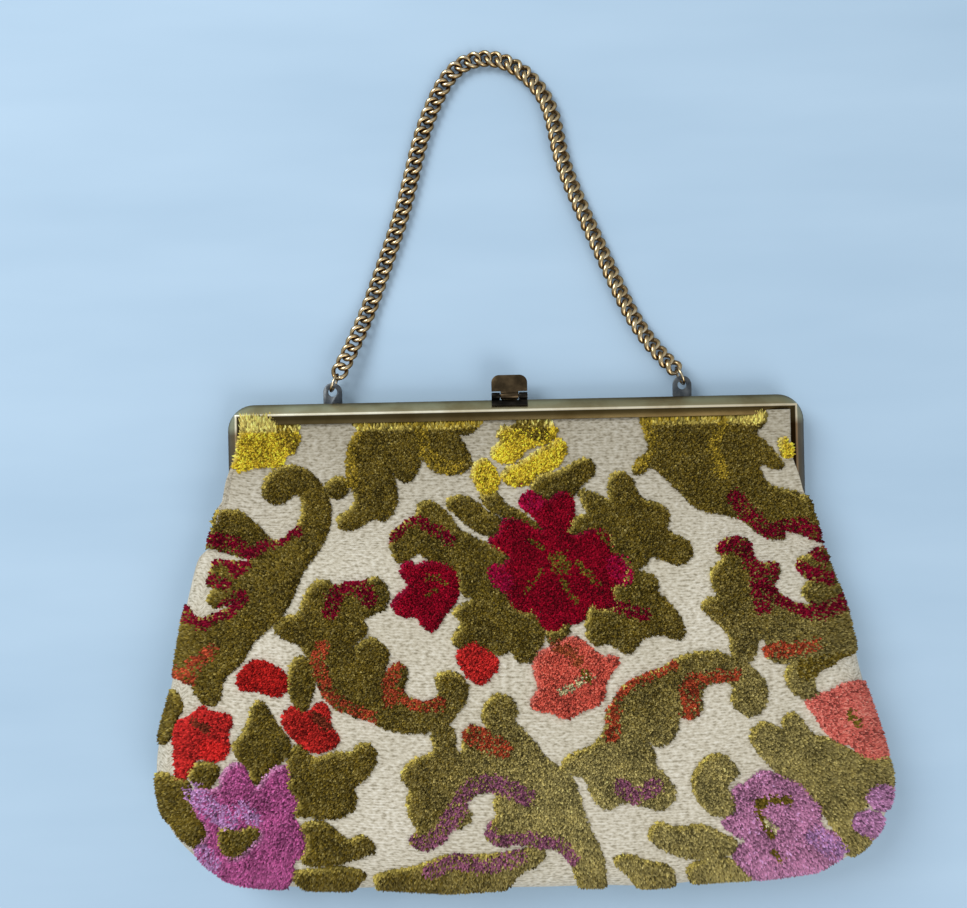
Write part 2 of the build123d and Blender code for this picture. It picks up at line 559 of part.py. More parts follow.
def hinge_rivets():
    """Two rivets, each a pin with a round head at either end."""
    grip = 2 * EAR_SHEET + EAR_GAP + 2 * RIVET_HEAD_GAP
    rivets = []
    for hand in (-1, 1):
        x = hand * (HALF_FRAME - EAR_INSET - EAR_SHEET - EAR_GAP / 2)
        rivet = x_cylinder(RIVET_RADIUS, grip, x, HINGE_Y, MEETING_HEIGHT)
        for end in (-1, 1):
            head_x = x + end * (grip + RIVET_HEAD) / 2
            rivet += x_cylinder(RIVET_HEAD_RADIUS, RIVET_HEAD, head_x, HINGE_Y, MEETING_HEIGHT)
        rivets.append(rivet.solid())
    return Compound(rivets)


def clasp_pin_hole():
    radius = CLASP_PIN_RADIUS + CLASP_PIN_CLEARANCE
    return x_cylinder(radius, CLASP_WIDTH, CLASP_X, KNUCKLE_Y, KNUCKLE_Z)


def clasp_plate():
    """Base plate on the outer bevel, with a knuckle at each end of its outer edge."""
    slope = Plane(
        (CLASP_X, TOP_Y, MEETING_HEIGHT + WALL_HEIGHT),
        x_dir=(1, 0, 0),
        z_dir=(0, math.sin(BEVEL_ANGLE), math.cos(BEVEL_ANGLE)),
    )
    reach = KNUCKLE_OUT * math.cos(BEVEL_ANGLE) - (KNUCKLE_UP - WALL_HEIGHT) * math.sin(BEVEL_ANGLE)
    corner = Align.CENTER, Align.MAX, Align.MIN
    length = CLASP_PLATE_LENGTH + reach
    plate = Pos(0, reach, 0) * Box(CLASP_WIDTH, length, CLASP_PLATE_SHEET, align=corner)
    notch_width = LEVER_KNUCKLE + 2 * KNUCKLE_GAP
    notch_length = 2 * (KNUCKLE_RADIUS + KNUCKLE_GAP)
    plate -= Pos(0, reach, 0) * Box(notch_width, notch_length, 2 * CLASP_PLATE_SHEET)
    plate = slope * plate
    for hand in (-1, 1):
        x = CLASP_X + hand * (CLASP_WIDTH - KNUCKLE_LENGTH) / 2
        plate += x_cylinder(KNUCKLE_RADIUS, KNUCKLE_LENGTH, x, KNUCKLE_Y, KNUCKLE_Z)
    return plate - clasp_pin_hole()


def clasp_lever():
    """Finger tab, middle knuckle and the claw that stands over the keeper."""
    tab_length = TAB_END - TAB_START
    tab = RectangleRounded(CLASP_WIDTH, tab_length, TAB_CORNER)
    tab += Pos(0, -tab_length / 4) * Rectangle(CLASP_WIDTH, tab_length / 2)
    lever = Pos(0, TAB_START + tab_length / 2, -TAB_SHEET / 2) * extrude(tab, TAB_SHEET)
    lever += Pos(0, TAB_START / 2) * Box(LEVER_KNUCKLE, TAB_START, TAB_SHEET)
    lever += Pos(0, 0, -CLAW_DROP / 2) * Box(LEVER_KNUCKLE, CLAW_SHEET, CLAW_DROP)
    lever = Pos(CLASP_X, KNUCKLE_Y, KNUCKLE_Z) * lever
    lever += x_cylinder(KNUCKLE_RADIUS, LEVER_KNUCKLE, CLASP_X, KNUCKLE_Y, KNUCKLE_Z)
    return lever - clasp_pin_hole()


def clasp_pin():
    return x_cylinder(CLASP_PIN_RADIUS, CLASP_WIDTH, CLASP_X, KNUCKLE_Y, KNUCKLE_Z)


def clasp_keeper():
    z = MEETING_HEIGHT - (MEETING_GAP / 2 + WALL_HEIGHT) / 2
    return Pos(CLASP_X, TOP_Y + KEEPER_DEPTH / 2, z) * Box(KEEPER_WIDTH, KEEPER_DEPTH, KEEPER_HEIGHT)


def chain_lug(x):
    """Flat tab with a round top and an eye, its tail under the rear channel's flange."""
    length = LUG_TAIL + LUG_EYE_HEIGHT
    tab = Circle(LUG_WIDTH / 2) + Pos(0, -length / 2) * Rectangle(LUG_WIDTH, length)
    tab -= Circle(LUG_EYE_RADIUS)
    return Pos(x, TOP_Y + LUG_EYE_HEIGHT, LUG_Z - LUG_SHEET / 2) * extrude(tab, LUG_SHEET)


def ring_centre(end):
    lug_x, lean = end
    seat = Vector(lug_x - math.copysign(RING_SETBACK, lean.X), TOP_Y + LUG_EYE_HEIGHT + RING_RISE, LUG_Z)
    return seat + lean * RING_RADIUS


def chain_rings():
    rings = []
    for end in RING_ENDS:
        across = Vector(end[1].Y, -end[1].X)
        rings.append((Plane(ring_centre(end), z_dir=across) * Torus(RING_RADIUS, RING_WIRE / 2)).solid())
    return Compound(rings)


def link_line(angle):
    """Middle line of one twisted link: along the chain, across it and up."""
    twist = math.radians(LINK_TWIST) * math.cos(angle)
    spread = LINK_SPREAD * math.sin(angle)
    return Vector(LINK_REACH * math.cos(angle), spread * math.cos(twist), spread * math.sin(twist))


def wire_link():
    """One link with flat-sided wire."""
    rims = []
    for station in range(LINK_STATIONS):
        angle = 2 * math.pi * station / LINK_STATIONS
        centre = link_line(angle)
        run = (link_line(angle + SLOPE_STEP) - link_line(angle - SLOPE_STEP)).normalized()
        out = (centre - run * centre.dot(run)).normalized()
        side = run.cross(out)
        rim = []
        for corner in range(WIRE_SIDES):
            turn = 2 * math.pi * corner / WIRE_SIDES
            rim.append(centre + (out * math.cos(turn) + side * math.sin(turn)) * (LINK_WIRE / 2))
        rims.append(rim)
    faces = []
    for station in range(LINK_STATIONS):
        near, far = rims[station], rims[(station + 1) % LINK_STATIONS]
        for corner in range(WIRE_SIDES):
            after = (corner + 1) % WIRE_SIDES
            for third, fourth in ((near[after], far[after]), (far[after], far[corner])):
                faces.append(Face(Wire.make_polygon((near[corner], third, fourth), close=True)))
    return Solid(Shell(faces))


def link_rest_height(roll):
    """Height of a link's middle when it lies on the floor, rolled about the chain."""
    low = 0
    for station in range(LINK_STATIONS):
        point = link_line(2 * math.pi * station / LINK_STATIONS)
        low = min(low, point.Y * math.sin(roll) + point.Z * math.cos(roll))
    return LINK_WIRE / 2 + FLOOR_GAP - low


def chain_links():
    """Twisted links at even steps along the handle's line, lying down between the lugs."""
    inside = RING_RADIUS - RING_WIRE / 2 - LINK_WIRE / 2 - LINK_SLACK
    first, last = (ring_centre(end) + end[1] * inside for end in RING_ENDS)
    line = [Vector(first.X, first.Y)]
    for across, reach in HANDLE_SHARES:
        x = LUG_LEFT_X + across * (LUG_RIGHT_X - LUG_LEFT_X)
        line.append(Vector(x, RING_Y + reach * HANDLE_REACH))
    line.append(Vector(last.X, last.Y))
    route = Spline(*line)
    count = math.floor((route.length - 2 * LINK_REACH) / LINK_PITCH) + 1
    step = (route.length - 2 * LINK_REACH) / (count - 1)

    def place(share):
        roll = math.radians(RIGHT_ROLL) * smooth_step((share - ROLL_START_SHARE) / ROLL_SPAN_SHARE)
        held = smooth_step(1 - min(share, 1 - share) / LIFT_SPAN_SHARE)
        rest = link_rest_height(roll)
        flat = route.position_at(share * route.length, position_mode=PositionMode.LENGTH)
        return Vector(flat.X, flat.Y, rest + (LUG_Z - rest) * held), roll

    link = wire_link()
    links = []
    for index in range(count):
        share = (LINK_REACH + index * step) / route.length
        centre, roll = place(share)
        run = (place(share + SLOPE_STEP)[0] - place(share - SLOPE_STEP)[0]).normalized()
        level = Vector(0, 0, 1).cross(run).normalized()
        up = run.cross(level) * math.cos(roll) - level * math.sin(roll)
        links.append(link.moved(Location(Plane(centre, x_dir=run, z_dir=up))))
    return Compound(links)


def angle_for(value, fullness):
    """The angle whose full sine is the value."""
    low, high = 0.0, math.pi / 2
    for _ in range(40):
        middle = (low + high) / 2
        if full_sine(middle, fullness) < value:
            low = middle
        else:
            high = middle
    return low


def front_height(x, y):
    """Height of the front cloth over a point of the floor."""
    across = 0.0
    for _ in range(4):
        fall = CLOTH_TOP_Y - CORNER_Y + BOTTOM_SAG_SHARE * BAG_HEIGHT * (1 - across**2)
        down = min(1.0, max(0.0, (CLOTH_TOP_Y - y) / fall))
        edge_y = CLOTH_TOP_Y + (CORNER_Y - CLOTH_TOP_Y) * down
        left, right = -edge_x(LEFT_EDGE_SHARES, edge_y), edge_x(RIGHT_EDGE_SHARES, edge_y)
        share = (2 * x - left - right) / (right - left)
        across = math.copysign(angle_for(min(1.0, abs(share)), SIDE_FULLNESS) / (math.pi / 2), share)
    along = (angle_for(down, BOTTOM_FULLNESS) / (math.pi / 2)) ** (1 / ROW_CROWDING)
    return cloth_point(1, across, along).Z


def from_picture(column, row):
    """A point of the front cloth seen at a pixel of the picture."""
    turn = math.radians(PICTURE_TURN)
    right, up = column - PICTURE_CENTRE[0], PICTURE_CENTRE[1] - row
    height = SEAM_HEIGHT
    for _ in range(5):
        spread = (VIEW_HEIGHT - height) / PICTURE_FOCUS
        x = (right * math.cos(turn) + up * math.sin(turn)) * spread + VIEW_ACROSS_SHARE * BAG_WIDTH
        y = (up * math.cos(turn) - right * math.sin(turn)) * spread + VIEW_ALONG_SHARE * BAG_WIDTH
        height = front_height(x, y * TALL_STRETCH)
    return Vector(x, y * TALL_STRETCH)


def motif(outline):
    """A pattern shape on the floor, its corners cut once to round them."""
    corners = []
    for index, pixel in enumerate(outline):
        after = outline[(index + 1) % len(outline)]
        for share in CORNER_CUT_SHARES:
            corners.append(tuple(a + (b - a) * share for a, b in zip(pixel, after)))
    return make_face(Polyline(*(from_picture(*corner) for corner in corners), close=True))


def motifs(outlines):
    whole = Sketch()
    for outline in outlines:
        whole += motif(outline)
    return whole


def pile_window():
    """Where pile can stand: between the channel's lips above, to near the seam below the flare."""
    edge = PILE_EDGE_SHARE
    rows = [edge * row / ROWS for row in range(ROWS + 1)]
    columns = [edge * (2 * column / COLUMNS - 1) for column in range(1, COLUMNS)]
    rim = [cloth_point(1, -edge, along) for along in rows]
    rim += [cloth_point(1, across, edge) for across in columns]
    rim += [cloth_point(1, edge, along) for along in reversed(rows)]
    field = make_face(Polyline(*((point.X, point.Y) for point in rim), close=True))
    top = Align.CENTER, Align.MAX
    inner_x = HALF_FRAME - LIP_INSET - PILE_SIDE_MARGIN
    inner_y = TOP_Y - LIP_INSET - PILE_MARGIN
    window = Pos(0, inner_y) * Rectangle(2 * inner_x, inner_y, align=top)
    flared = Rectangle(2 * BAG_WIDTH, 2 * BAG_HEIGHT, align=top)
    window += Pos(0, FLARE_END_SHARE * BAG_HEIGHT) * flared
    return window & field


def pile(shape, layer):
    """The tufts of one colour: the pile layer within each part of a shape."""
    tufts = []
    for face in (shape & pile_window()).faces():
        tufts.extend((extrude(face, 2 * FRONT_SWELL) & layer).solids())
    return Compound(tufts)


def cut_flat(sheet):
    """Leaves a flat underside where the cloth rests on the floor."""
    below = Align.CENTER, Align.CENTER, Align.MAX
    return sheet - Box(2 * BAG_WIDTH, 2 * BAG_HEIGHT, BAG_HEIGHT, align=below)


nodes = {
    "front_frame": front_frame(),
    "rear_frame": rear_frame(),
    "hinge_rivets": hinge_rivets(),
    "clasp_plate": clasp_plate(),
    "clasp_lever": clasp_lever(),
    "clasp_pin": clasp_pin(),
    "clasp_keeper": clasp_keeper(),
    "left_lug": chain_lug(LUG_LEFT_X),
    "right_lug": chain_lug(LUG_RIGHT_X),
    "chain_rings": chain_rings(),
    "chain_links": chain_links(),
    "front_panel": cloth_sheet(1, 0, CLOTH_THICKNESS),
    "back_panel": cut_flat(cloth_sheet(-1, 0, CLOTH_THICKNESS)),
    "front_lining": cloth_sheet(1, LINING_TOP, LINING_BOTTOM),
    "back_lining": cloth_sheet(-1, LINING_TOP, LINING_BOTTOM),
}

pile_layer = cloth_sheet(1, -PILE_HEIGHT, -PILE_GAP)
heart = motif(LILAC_HEART)
crimson, coral = motifs(CRIMSON_OUTLINES), motifs(CORAL_OUTLINES)
yellow, lilac = motifs(YELLOW_OUTLINES), motifs(LILAC_OUTLINES) - heart
olive = motifs(OLIVE_OUTLINES) + heart - crimson - coral - yellow - lilac
nodes["olive_pile"] = pile(olive, pile_layer)
nodes["crimson_pile"] = pile(crimson, pile_layer)
nodes["coral_pile"] = pile(coral, pile_layer)
nodes["yellow_pile"] = pile(yellow, pile_layer)
nodes["lilac_pile"] = pile(lilac, pile_layer)

for name, shape in nodes.items():
    export_step(shape, f"parts/{name}.step")
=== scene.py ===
import math

import bmesh
import bpy
import numpy as np
from mathutils import Matrix, Vector
from mathutils.bvhtree import BVHTree
from mathutils.kdtree import KDTree


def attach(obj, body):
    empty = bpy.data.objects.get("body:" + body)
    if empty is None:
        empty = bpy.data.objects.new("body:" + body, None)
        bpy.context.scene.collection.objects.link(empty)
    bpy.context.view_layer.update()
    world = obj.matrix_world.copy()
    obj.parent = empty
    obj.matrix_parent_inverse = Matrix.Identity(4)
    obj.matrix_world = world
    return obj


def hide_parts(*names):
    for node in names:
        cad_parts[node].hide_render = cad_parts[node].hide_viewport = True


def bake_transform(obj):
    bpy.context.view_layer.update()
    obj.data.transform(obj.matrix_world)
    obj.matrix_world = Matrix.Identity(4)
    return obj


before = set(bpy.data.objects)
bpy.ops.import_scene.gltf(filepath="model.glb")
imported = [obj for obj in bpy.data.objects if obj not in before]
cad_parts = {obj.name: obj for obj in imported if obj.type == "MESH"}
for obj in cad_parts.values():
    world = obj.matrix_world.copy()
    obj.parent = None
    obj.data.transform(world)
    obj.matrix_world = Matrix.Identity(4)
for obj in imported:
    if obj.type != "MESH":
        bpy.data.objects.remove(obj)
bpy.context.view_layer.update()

MM = 0.001

# Bag's cloth, in metres
BAG_WIDTH = 280.0 * MM
BAG_HEIGHT = 185.0 * MM
FRONT_SWELL = 34.7 * MM
BACK_DIP = 1.1 * MM
SEAM_HEIGHT = 12.0 * MM
SEAM_GAP = 0.4 * MM
CLOTH_THICKNESS = 1.4 * MM
LINING_THICKNESS = 0.5 * MM
LINING_DEPTH = 1.8 * MM
CLOTH_TUCK = 6.0 * MM
CLOTH_SEAT = 3.6 * MM
SIDE_FULLNESS = 0.2
BOTTOM_FULLNESS = 0.45
ROW_CROWDING = 1.25
FRONT_RISE = (1.35, 3.2)
BACK_RISE = (1.2, 6.0)
LEFT_EDGE_SHARES = [
    (0.330, 0.800), (0.243, 0.836), (0.176, 0.869), (0.085, 0.899), (-0.077, 0.960),
    (-0.158, 0.986), (-0.240, 0.996), (-0.322, 0.980), (-0.388, 0.934), (-0.457, 0.843),
]
RIGHT_EDGE_SHARES = [
    (0.330, 0.768), (0.243, 0.800), (0.200, 0.819), (0.128, 0.847), (0.057, 0.878),
    (-0.086, 0.933), (-0.159, 0.963), (-0.230, 0.988), (-0.281, 1.000), (-0.324, 0.994),
    (-0.393, 0.956), (-0.457, 0.846),
]
CORNER_SHARE = -0.457
BOTTOM_SAG_SHARE = 0.039
FLARE_START_SHARE = 0.275
FLARE_END_SHARE = 0.185
CLOTH_COLUMNS = 200
CLOTH_ROWS = 140
NORMAL_STEP_SHARE = 0.004
EDGE_FADE_SHARE = 0.08

# Soft sways of the front cloth: depth, wave lengths in mm, phases, and a start and run below the frame
SWAY = 0.35 * MM
LONG_SWAY_LENGTHS = (11.0, 13.0)
LONG_SWAY_PHASES = (0.7, 1.9)
SHORT_SWAY_LENGTHS = (6.1, 9.3)
SHORT_SWAY_SHARE = 0.6
SWAY_START_SHARES = (0.12, 0.2)

# Sewn folds at the two lower corners: lines and width in pixels, and depth
CORNER_FOLDS = [[(838, 741), (848, 762), (866, 800)], [(203, 823), (208, 835), (214, 850)]]
FOLD_WIDTH = 5.0
FOLD_DEPTH = 1.0 * MM

# How far the front cloth reaches over the frame's arms: height on the bag and reach to the side, in mm
LEFT_PUFF = [
    (40.0, 117.0), (49.0, 114.0), (54.0, 112.2), (56.6, 110.3), (64.3, 108.7), (69.0, 106.8), (73.0, 104.2),
    (79.0, 103.6), (84.0, 100.5),
]
RIGHT_PUFF = [
    (37.0, 114.0), (48.6, 110.5), (53.2, 108.4), (55.1, 106.6), (62.2, 104.9), (68.2, 102.6), (77.2, 100.6),
    (84.0, 98.6),
]
PUFF_LIFT = 15.0 * MM
PUFF_START_SHARE = 0.985

# Where the cloth swells over the arms, as a start and a run: heights, reaches, shares of the half width
TUCK_HEIGHTS = (45.0 * MM, 6.0 * MM)
COVER_HEIGHTS = (35.0 * MM, 10.0 * MM)
COVER_REACHES = (97.0 * MM, 6.0 * MM)
BACK_UNDER_SHARES = (0.87, 0.12)
REACH_SHARES = (0.69, 0.1)
LIFT_SHARES = (0.55, 0.24)

# How far the lower part of the bag is drawn in by its seam, and where; a run below 0 goes downwards
BOTTOM_DRAW = 3.4 * MM
BOTTOM_DRAW_HEIGHTS = (-58.0 * MM, -30.0 * MM)
SIDE_DRAW = 2.4 * MM
SIDE_DRAW_HEIGHTS = (20.0 * MM, -40.0 * MM)
SIDE_DRAW_SHARES = (0.5, 0.4)

# Cloth finishes: the ribs' pitch, the depth of the threads, and where the cream darkens near the frame
RIB_PITCH = 0.98 * MM
THREAD_DEPTH = 0.4 * MM
SATIN_DEPTH = 0.2 * MM
FRAME_DARKENING_START = 35.0 * MM
FRAME_DARKENING_RUN = 55.0 * MM

# Metal frame, in metres
HALF_FRAME = 109.5 * MM
TOP_Y = BAG_HEIGHT / 2
HINGE_Y = TOP_Y - 40.0 * MM
MEETING_HEIGHT = 7.4 * MM
MEETING_GAP = 0.3 * MM
FRAME_SHEET = 0.8 * MM
FRAME_CORNER = 10.0 * MM
FRAME_ROUNDING = 0.25 * MM
ROUNDING_STEPS = 3
CORNER_STEPS = 10
SQUARE_CORNER_SHARES = (0.3, 0.25)
ARM_SETBACK = 0.7 * MM
FLANGE_WIDTH = 9.0 * MM
WALL_HEIGHT = 1.5 * MM
CREST_INSET = 4.0 * MM
CREST_HEIGHT = 5.9 * MM
LIP_INSET = 7.9 * MM
LIP_HEIGHT = 5.0 * MM
EAR_RADIUS = 3.0 * MM
EAR_SHEET = 1.0 * MM
EAR_INSET = 1.0 * MM
EAR_GAP = 0.2 * MM
EAR_DEPTH = 2.4 * MM
EAR_OVERLAP = 10.0 * MM
EAR_SIDES = 24

# Places on the folded channel, as shares: flange end, flange corner, wall top, crest, lip
FOLD_SHARES = [0.0, 0.1, 0.2, 0.6, 1.0]

# Metal finishes: where the frame's tone changes down its arms and to the right, and the depth of the grain
ARM_TONE_START = 81.0 * MM
ARM_TONE_RUN = 3.0 * MM
SIDE_TONE_START = -60.0 * MM
SIDE_TONE_RUN = 160.0 * MM
GRAIN_DEPTH = 0.06 * MM
SPECK_DEPTH = 0.04 * MM

# Rounding of the metal parts: copies are merged and flattened before their edges are found
MERGE_DISTANCE = 0.002 * MM
FLAT_ANGLE = math.radians(1)
EDGE_ANGLE = math.radians(40)
EDGE_STEPS = 2
SHARP_ANGLE = math.radians(35)

# Where the camera stood, and the picture's size in pixels
CAMERA_PLACE = Vector((-12.5, 72.1, 362.5)) * MM
CAMERA_TURN = math.radians(-1.2)
PICTURE_WIDTH = 967.0
PICTURE_CENTRE = (483.5, 454.0)
PICTURE_FOCUS = 930.0
SENSOR_WIDTH = 36.0
NEAR_CLIP = 10.0 * MM

# Floor and light in metres and watts; a lamp has a name, a place, a width, a power and a colour
FLOOR_HALF = 2.0
LAMPS = [
    ("window", (-0.9, 0.8, 1.0), 0.9, 14.0, (0.97, 0.99, 1.0)),
    ("fill", (0.6, -0.9, 1.0), 1.0, 7.0, (1.0, 0.98, 0.95)),
]
SKY_COLOUR = (0.92, 0.96, 1.0, 1)
SKY_STRENGTH = 0.5

# Tufts of the pile
TUFT_PITCH = 0.62 * MM
TUFT_ROW_PITCH = 0.6 * MM
TUFT_JITTER = 0.22 * MM
TUFT_HEIGHT = 1.7 * MM
TUFT_ROOT = 0.12 * MM
TUFT_HALF_WIDTH = 0.95 * MM
TUFT_REACH = 2.3 * MM
TUFT_SEED = 11
TUFT_LAST_SHARE = 0.985
TUFT_STAGGER_SHARES = (0.25, 0.75)
TUFT_HEIGHT_SHARES = (0.84, 1.14)
TUFT_WIDTH_SHARES = (0.85, 1.15)
TIP_SWAYS = (0.28 * MM, 0.22 * MM)
TIP_LEAN_SHARE = 0.5
# Painted highlight at each tuft's tip and painted shade at its root, as shares of its colour
TIP_PAINTED_LIGHT = 1.15
ROOT_PAINTED_SHADE = 0.62
FINE_STEPS = 600
PILE_SEARCH = 4.0 * MM

# Tufts lean out at the pile's edge and up onto the frame's lip, and are short on steep cloth
EDGE_LEAN = 0.9 * MM
EDGE_DROP_SHARE = 0.3
LIP_LEAN = 4.6 * MM
LIP_LEAN_HEIGHTS = (81.0 * MM, 3.0 * MM)
STEEP_HEIGHT_SHARE = 0.25
STEEP_SLOPE = 0.6

# Chain: links thicker and wider than the solids, with a painted highlight a little all round and more where
# the metal faces up
LINK_SWELL = 0.36 * MM
LINK_WIDTH = 7.7 * MM
LINK_JOIN_ANGLE = math.radians(60)
TOP_HIGHLIGHT_SHARES = (0.25, 0.7)

# How much of the clasp plate is trimmed, so that it ends at the frame's crest
PLATE_TRIM = 1.8 * MM


def from_screen(red, green, blue):
    """A screen colour, 0 to 255, as the linear numbers a shader takes."""
    linear = []
    for level in (red, green, blue):
        share = level / 255
        linear.append(share / 12.92 if share <= 0.04045 else ((share + 0.055) / 1.055) ** 2.4)
    return tuple(linear)


# Camera


def make_camera():
    data = bpy.data.cameras.new("camera")
    data.sensor_fit = "HORIZONTAL"
    data.sensor_width = SENSOR_WIDTH
    data.lens = SENSOR_WIDTH * PICTURE_FOCUS / PICTURE_WIDTH
    data.clip_start = NEAR_CLIP
    camera = bpy.data.objects.new("camera", data)
    camera.location = CAMERA_PLACE
    camera.rotation_euler = (0, 0, CAMERA_TURN)
    bpy.context.collection.objects.link(camera)
    bpy.context.scene.camera = camera


# Shader sums


class Value:
    """A shader socket that takes part in sums."""

    def __init__(self, finish, socket):
        self.finish = finish
        self.socket = socket

    def joined(self, operation, *values):
        return self.finish.node("ShaderNodeMath", {"operation": operation}, dict(enumerate(values)))

    def __add__(self, other):
        return self.joined("ADD", self, other)

    def __sub__(self, other):
        return self.joined("SUBTRACT", self, other)

    def __mul__(self, other):
        return self.joined("MULTIPLY", self, other)

    def __truediv__(self, other):
        return self.joined("DIVIDE", self, other)

    def __rsub__(self, other):
        return self.joined("SUBTRACT", other, self)

    __radd__ = __add__
    __rmul__ = __mul__


class Finish:
    """One material: a main shader, its even settings, and the nodes that vary over the surface."""

    def __init__(self, name, **even):
        self.material = bpy.data.materials.new(name)
        self.material.use_nodes = True
        self.tree = self.material.node_tree
        self.shader = self.tree.nodes["Principled BSDF"]
        for socket, level in even.items():
            self.shader.inputs[socket.replace("_", " ")].default_value = level

    def node(self, kind, settings=None, inputs=None, output=0):
        made = self.tree.nodes.new(kind)
        for name, setting in (settings or {}).items():
            if name == "stops":
                ramp = made.color_ramp
                while len(ramp.elements) < len(setting):
                    ramp.elements.new(0.5)
                for element, (place, colour) in zip(ramp.elements, setting):
                    element.position = place
                    element.color = (*colour, 1)
            else:
                setattr(made, name, setting)
        for socket, value in (inputs or {}).items():
            if isinstance(value, Value):
                self.tree.links.new(value.socket, made.inputs[socket])
            else:
                made.inputs[socket].default_value = value
        return Value(self, made.outputs[output])

    def feed(self, socket, value):
        self.tree.links.new(value.socket, self.shader.inputs[socket])

    def place(self):
        return self.node("ShaderNodeTexCoord", output="Object")

    def noise(self, vector, scale, detail=3.0, roughness=0.5):
        levels = {"Vector": vector, "Scale": scale, "Detail": detail, "Roughness": roughness}
        return self.node("ShaderNodeTexNoise", None, levels)

    def stretched(self, vector, scale):
        return self.node("ShaderNodeMapping", None, {"Vector": vector, "Scale": scale})

    def ramp(self, factor, stops):
        return self.node("ShaderNodeValToRGB", {"stops": stops}, {"Fac": factor})

    def mixed(self, factor, first, second, blend="MIX"):
        settings = {"data_type": "RGBA", "blend_type": blend}
        return self.node("ShaderNodeMix", settings, {0: factor, 6: first, 7: second}, output=2)

    def bump(self, height, distance, strength=1.0):
        levels = {"Height": height, "Distance": distance, "Strength": strength}
        self.feed("Normal", self.node("ShaderNodeBump", None, levels))


# Meshes and pieces


def finished_mesh(bm, name):
    mesh = bpy.data.meshes.new(name)
    bm.to_mesh(mesh)
    bm.free()
    return mesh


def add_piece(name, mesh, material, smooth=True):
    piece = bpy.data.objects.new(name, mesh)
    bpy.context.collection.objects.link(piece)
    mesh.materials.clear()
    mesh.materials.append(material)
    if smooth:
        mesh.shade_smooth()
    return piece


def sharpen(mesh):
    mesh.shade_smooth()
    mesh.set_sharp_from_angle(angle=SHARP_ANGLE)


def stand_in(piece, node, body=None):
    """Puts a piece in a CAD node's place and hides the node; with a body the piece follows it, with none its
    placement is baked into its mesh.
    """
    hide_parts(node)
    if body:
        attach(piece, body)
    else:
        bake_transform(piece)


# Floor and light


def floor_finish():
    finish = Finish("pale_floor", Roughness=0.7)
    tone = finish.noise(finish.stretched(finish.place(), (2.0, 9.0, 1.0)), 3.0)
    low, high = from_screen(174, 201, 224), from_screen(183, 209, 231)
    finish.feed("Base Color", finish.ramp(tone, [(0.3, low), (0.7, high)]))
    return finish.material


def make_stage():
    grid = bmesh.new()
    bmesh.ops.create_grid(grid, x_segments=1, y_segments=1, size=FLOOR_HALF)
    floor = add_piece("floor", finished_mesh(grid, "floor"), floor_finish(), smooth=False)


def make_light(name, place, size, power, colour):
    """A round lamp turned towards the bag."""
    data = bpy.data.lights.new(name, "AREA")
    data.shape = "DISK"
    data.size = size
    data.energy = power
    data.color = colour
    lamp = bpy.data.objects.new(name, data)
    lamp.location = place
    lamp.rotation_euler = (-Vector(place)).to_track_quat("-Z", "Y").to_euler()
    bpy.context.collection.objects.link(lamp)


def make_lights():
    for lamp in LAMPS:
        make_light(*lamp)
    world = bpy.data.worlds.new("studio")
    world.use_nodes = True
    background = world.node_tree.nodes["Background"]
    background.inputs["Color"].default_value = SKY_COLOUR
    background.inputs["Strength"].default_value = SKY_STRENGTH
    bpy.context.scene.world = world


# The cloth's form: across runs from -1 at the left seam to 1 at the right, along from 0 at the frame


def smooth_step(share):
    held = np.clip(share, 0, 1)
    return held * held * (3 - 2 * held)


def eased(value, start, run):
    """Goes smoothly from 0 at the start to 1 at the end of the run."""
    return smooth_step((value - start) / run)


def curve_value(table, place):
    """Reads a smooth curve through the table's rows, which run downwards."""
    last = len(table) - 1
    index = 0
    while index < last - 1 and place < table[index + 1][0]:
        index += 1
    span = table[index + 1][0] - table[index][0]
    step = min(1.0, max(0.0, (place - table[index][0]) / span))

    def slope(row):
        before, after = table[max(row - 1, 0)], table[min(row + 1, last)]
        return (after[1] - before[1]) / (after[0] - before[0]) * span

    start, end = table[index][1], table[index + 1][1]
    square, cube = step**2, step**3
    return (
        start * (2 * cube - 3 * square + 1)
        + slope(index) * (cube - 2 * square + step)
        + end * (3 * square - 2 * cube)
        + slope(index + 1) * (cube - square)
    )


def edge_x(table, y):
    share = y / BAG_HEIGHT
    outline = curve_value(table, share) * BAG_WIDTH / 2
    flare = smooth_step((FLARE_START_SHARE - share) / (FLARE_START_SHARE - FLARE_END_SHARE))
    tucked = HALF_FRAME - CLOTH_TUCK
    return tucked + (outline - tucked) * flare


def full_sine(angle, fullness):
    return np.sin(angle) * (1 + fullness * np.cos(angle) ** 2)


def full_cosine(angle, fullness):
    return np.cos(angle) * (1 + fullness * np.sin(angle) ** 2)


def to_pixels(points):
    """Where the camera saw points of the bag: columns and rows of the picture."""
    across, along = points[:, 0] - CAMERA_PLACE.x, points[:, 1] - CAMERA_PLACE.y
    turn = -CAMERA_TURN
    right = across * math.cos(turn) - along * math.sin(turn)
    up = across * math.sin(turn) + along * math.cos(turn)
    scale = PICTURE_FOCUS / (CAMERA_PLACE.z - points[:, 2])
    return np.stack([PICTURE_CENTRE[0] + right * scale, PICTURE_CENTRE[1] - up * scale], axis=1)


def line_distance(pixels, line):
    """How far pixels are from a line of points."""
    nearest = np.full(len(pixels), np.inf)
    for start, end in zip(line[:-1], line[1:]):
        start, run = np.array(start, float), np.array(end, float) - np.array(start, float)
        share = np.clip(((pixels - start) @ run) / (run @ run), 0, 1)
        nearest = np.minimum(nearest, np.linalg.norm(pixels - start - share[:, None] * run, axis=1))
    return nearest


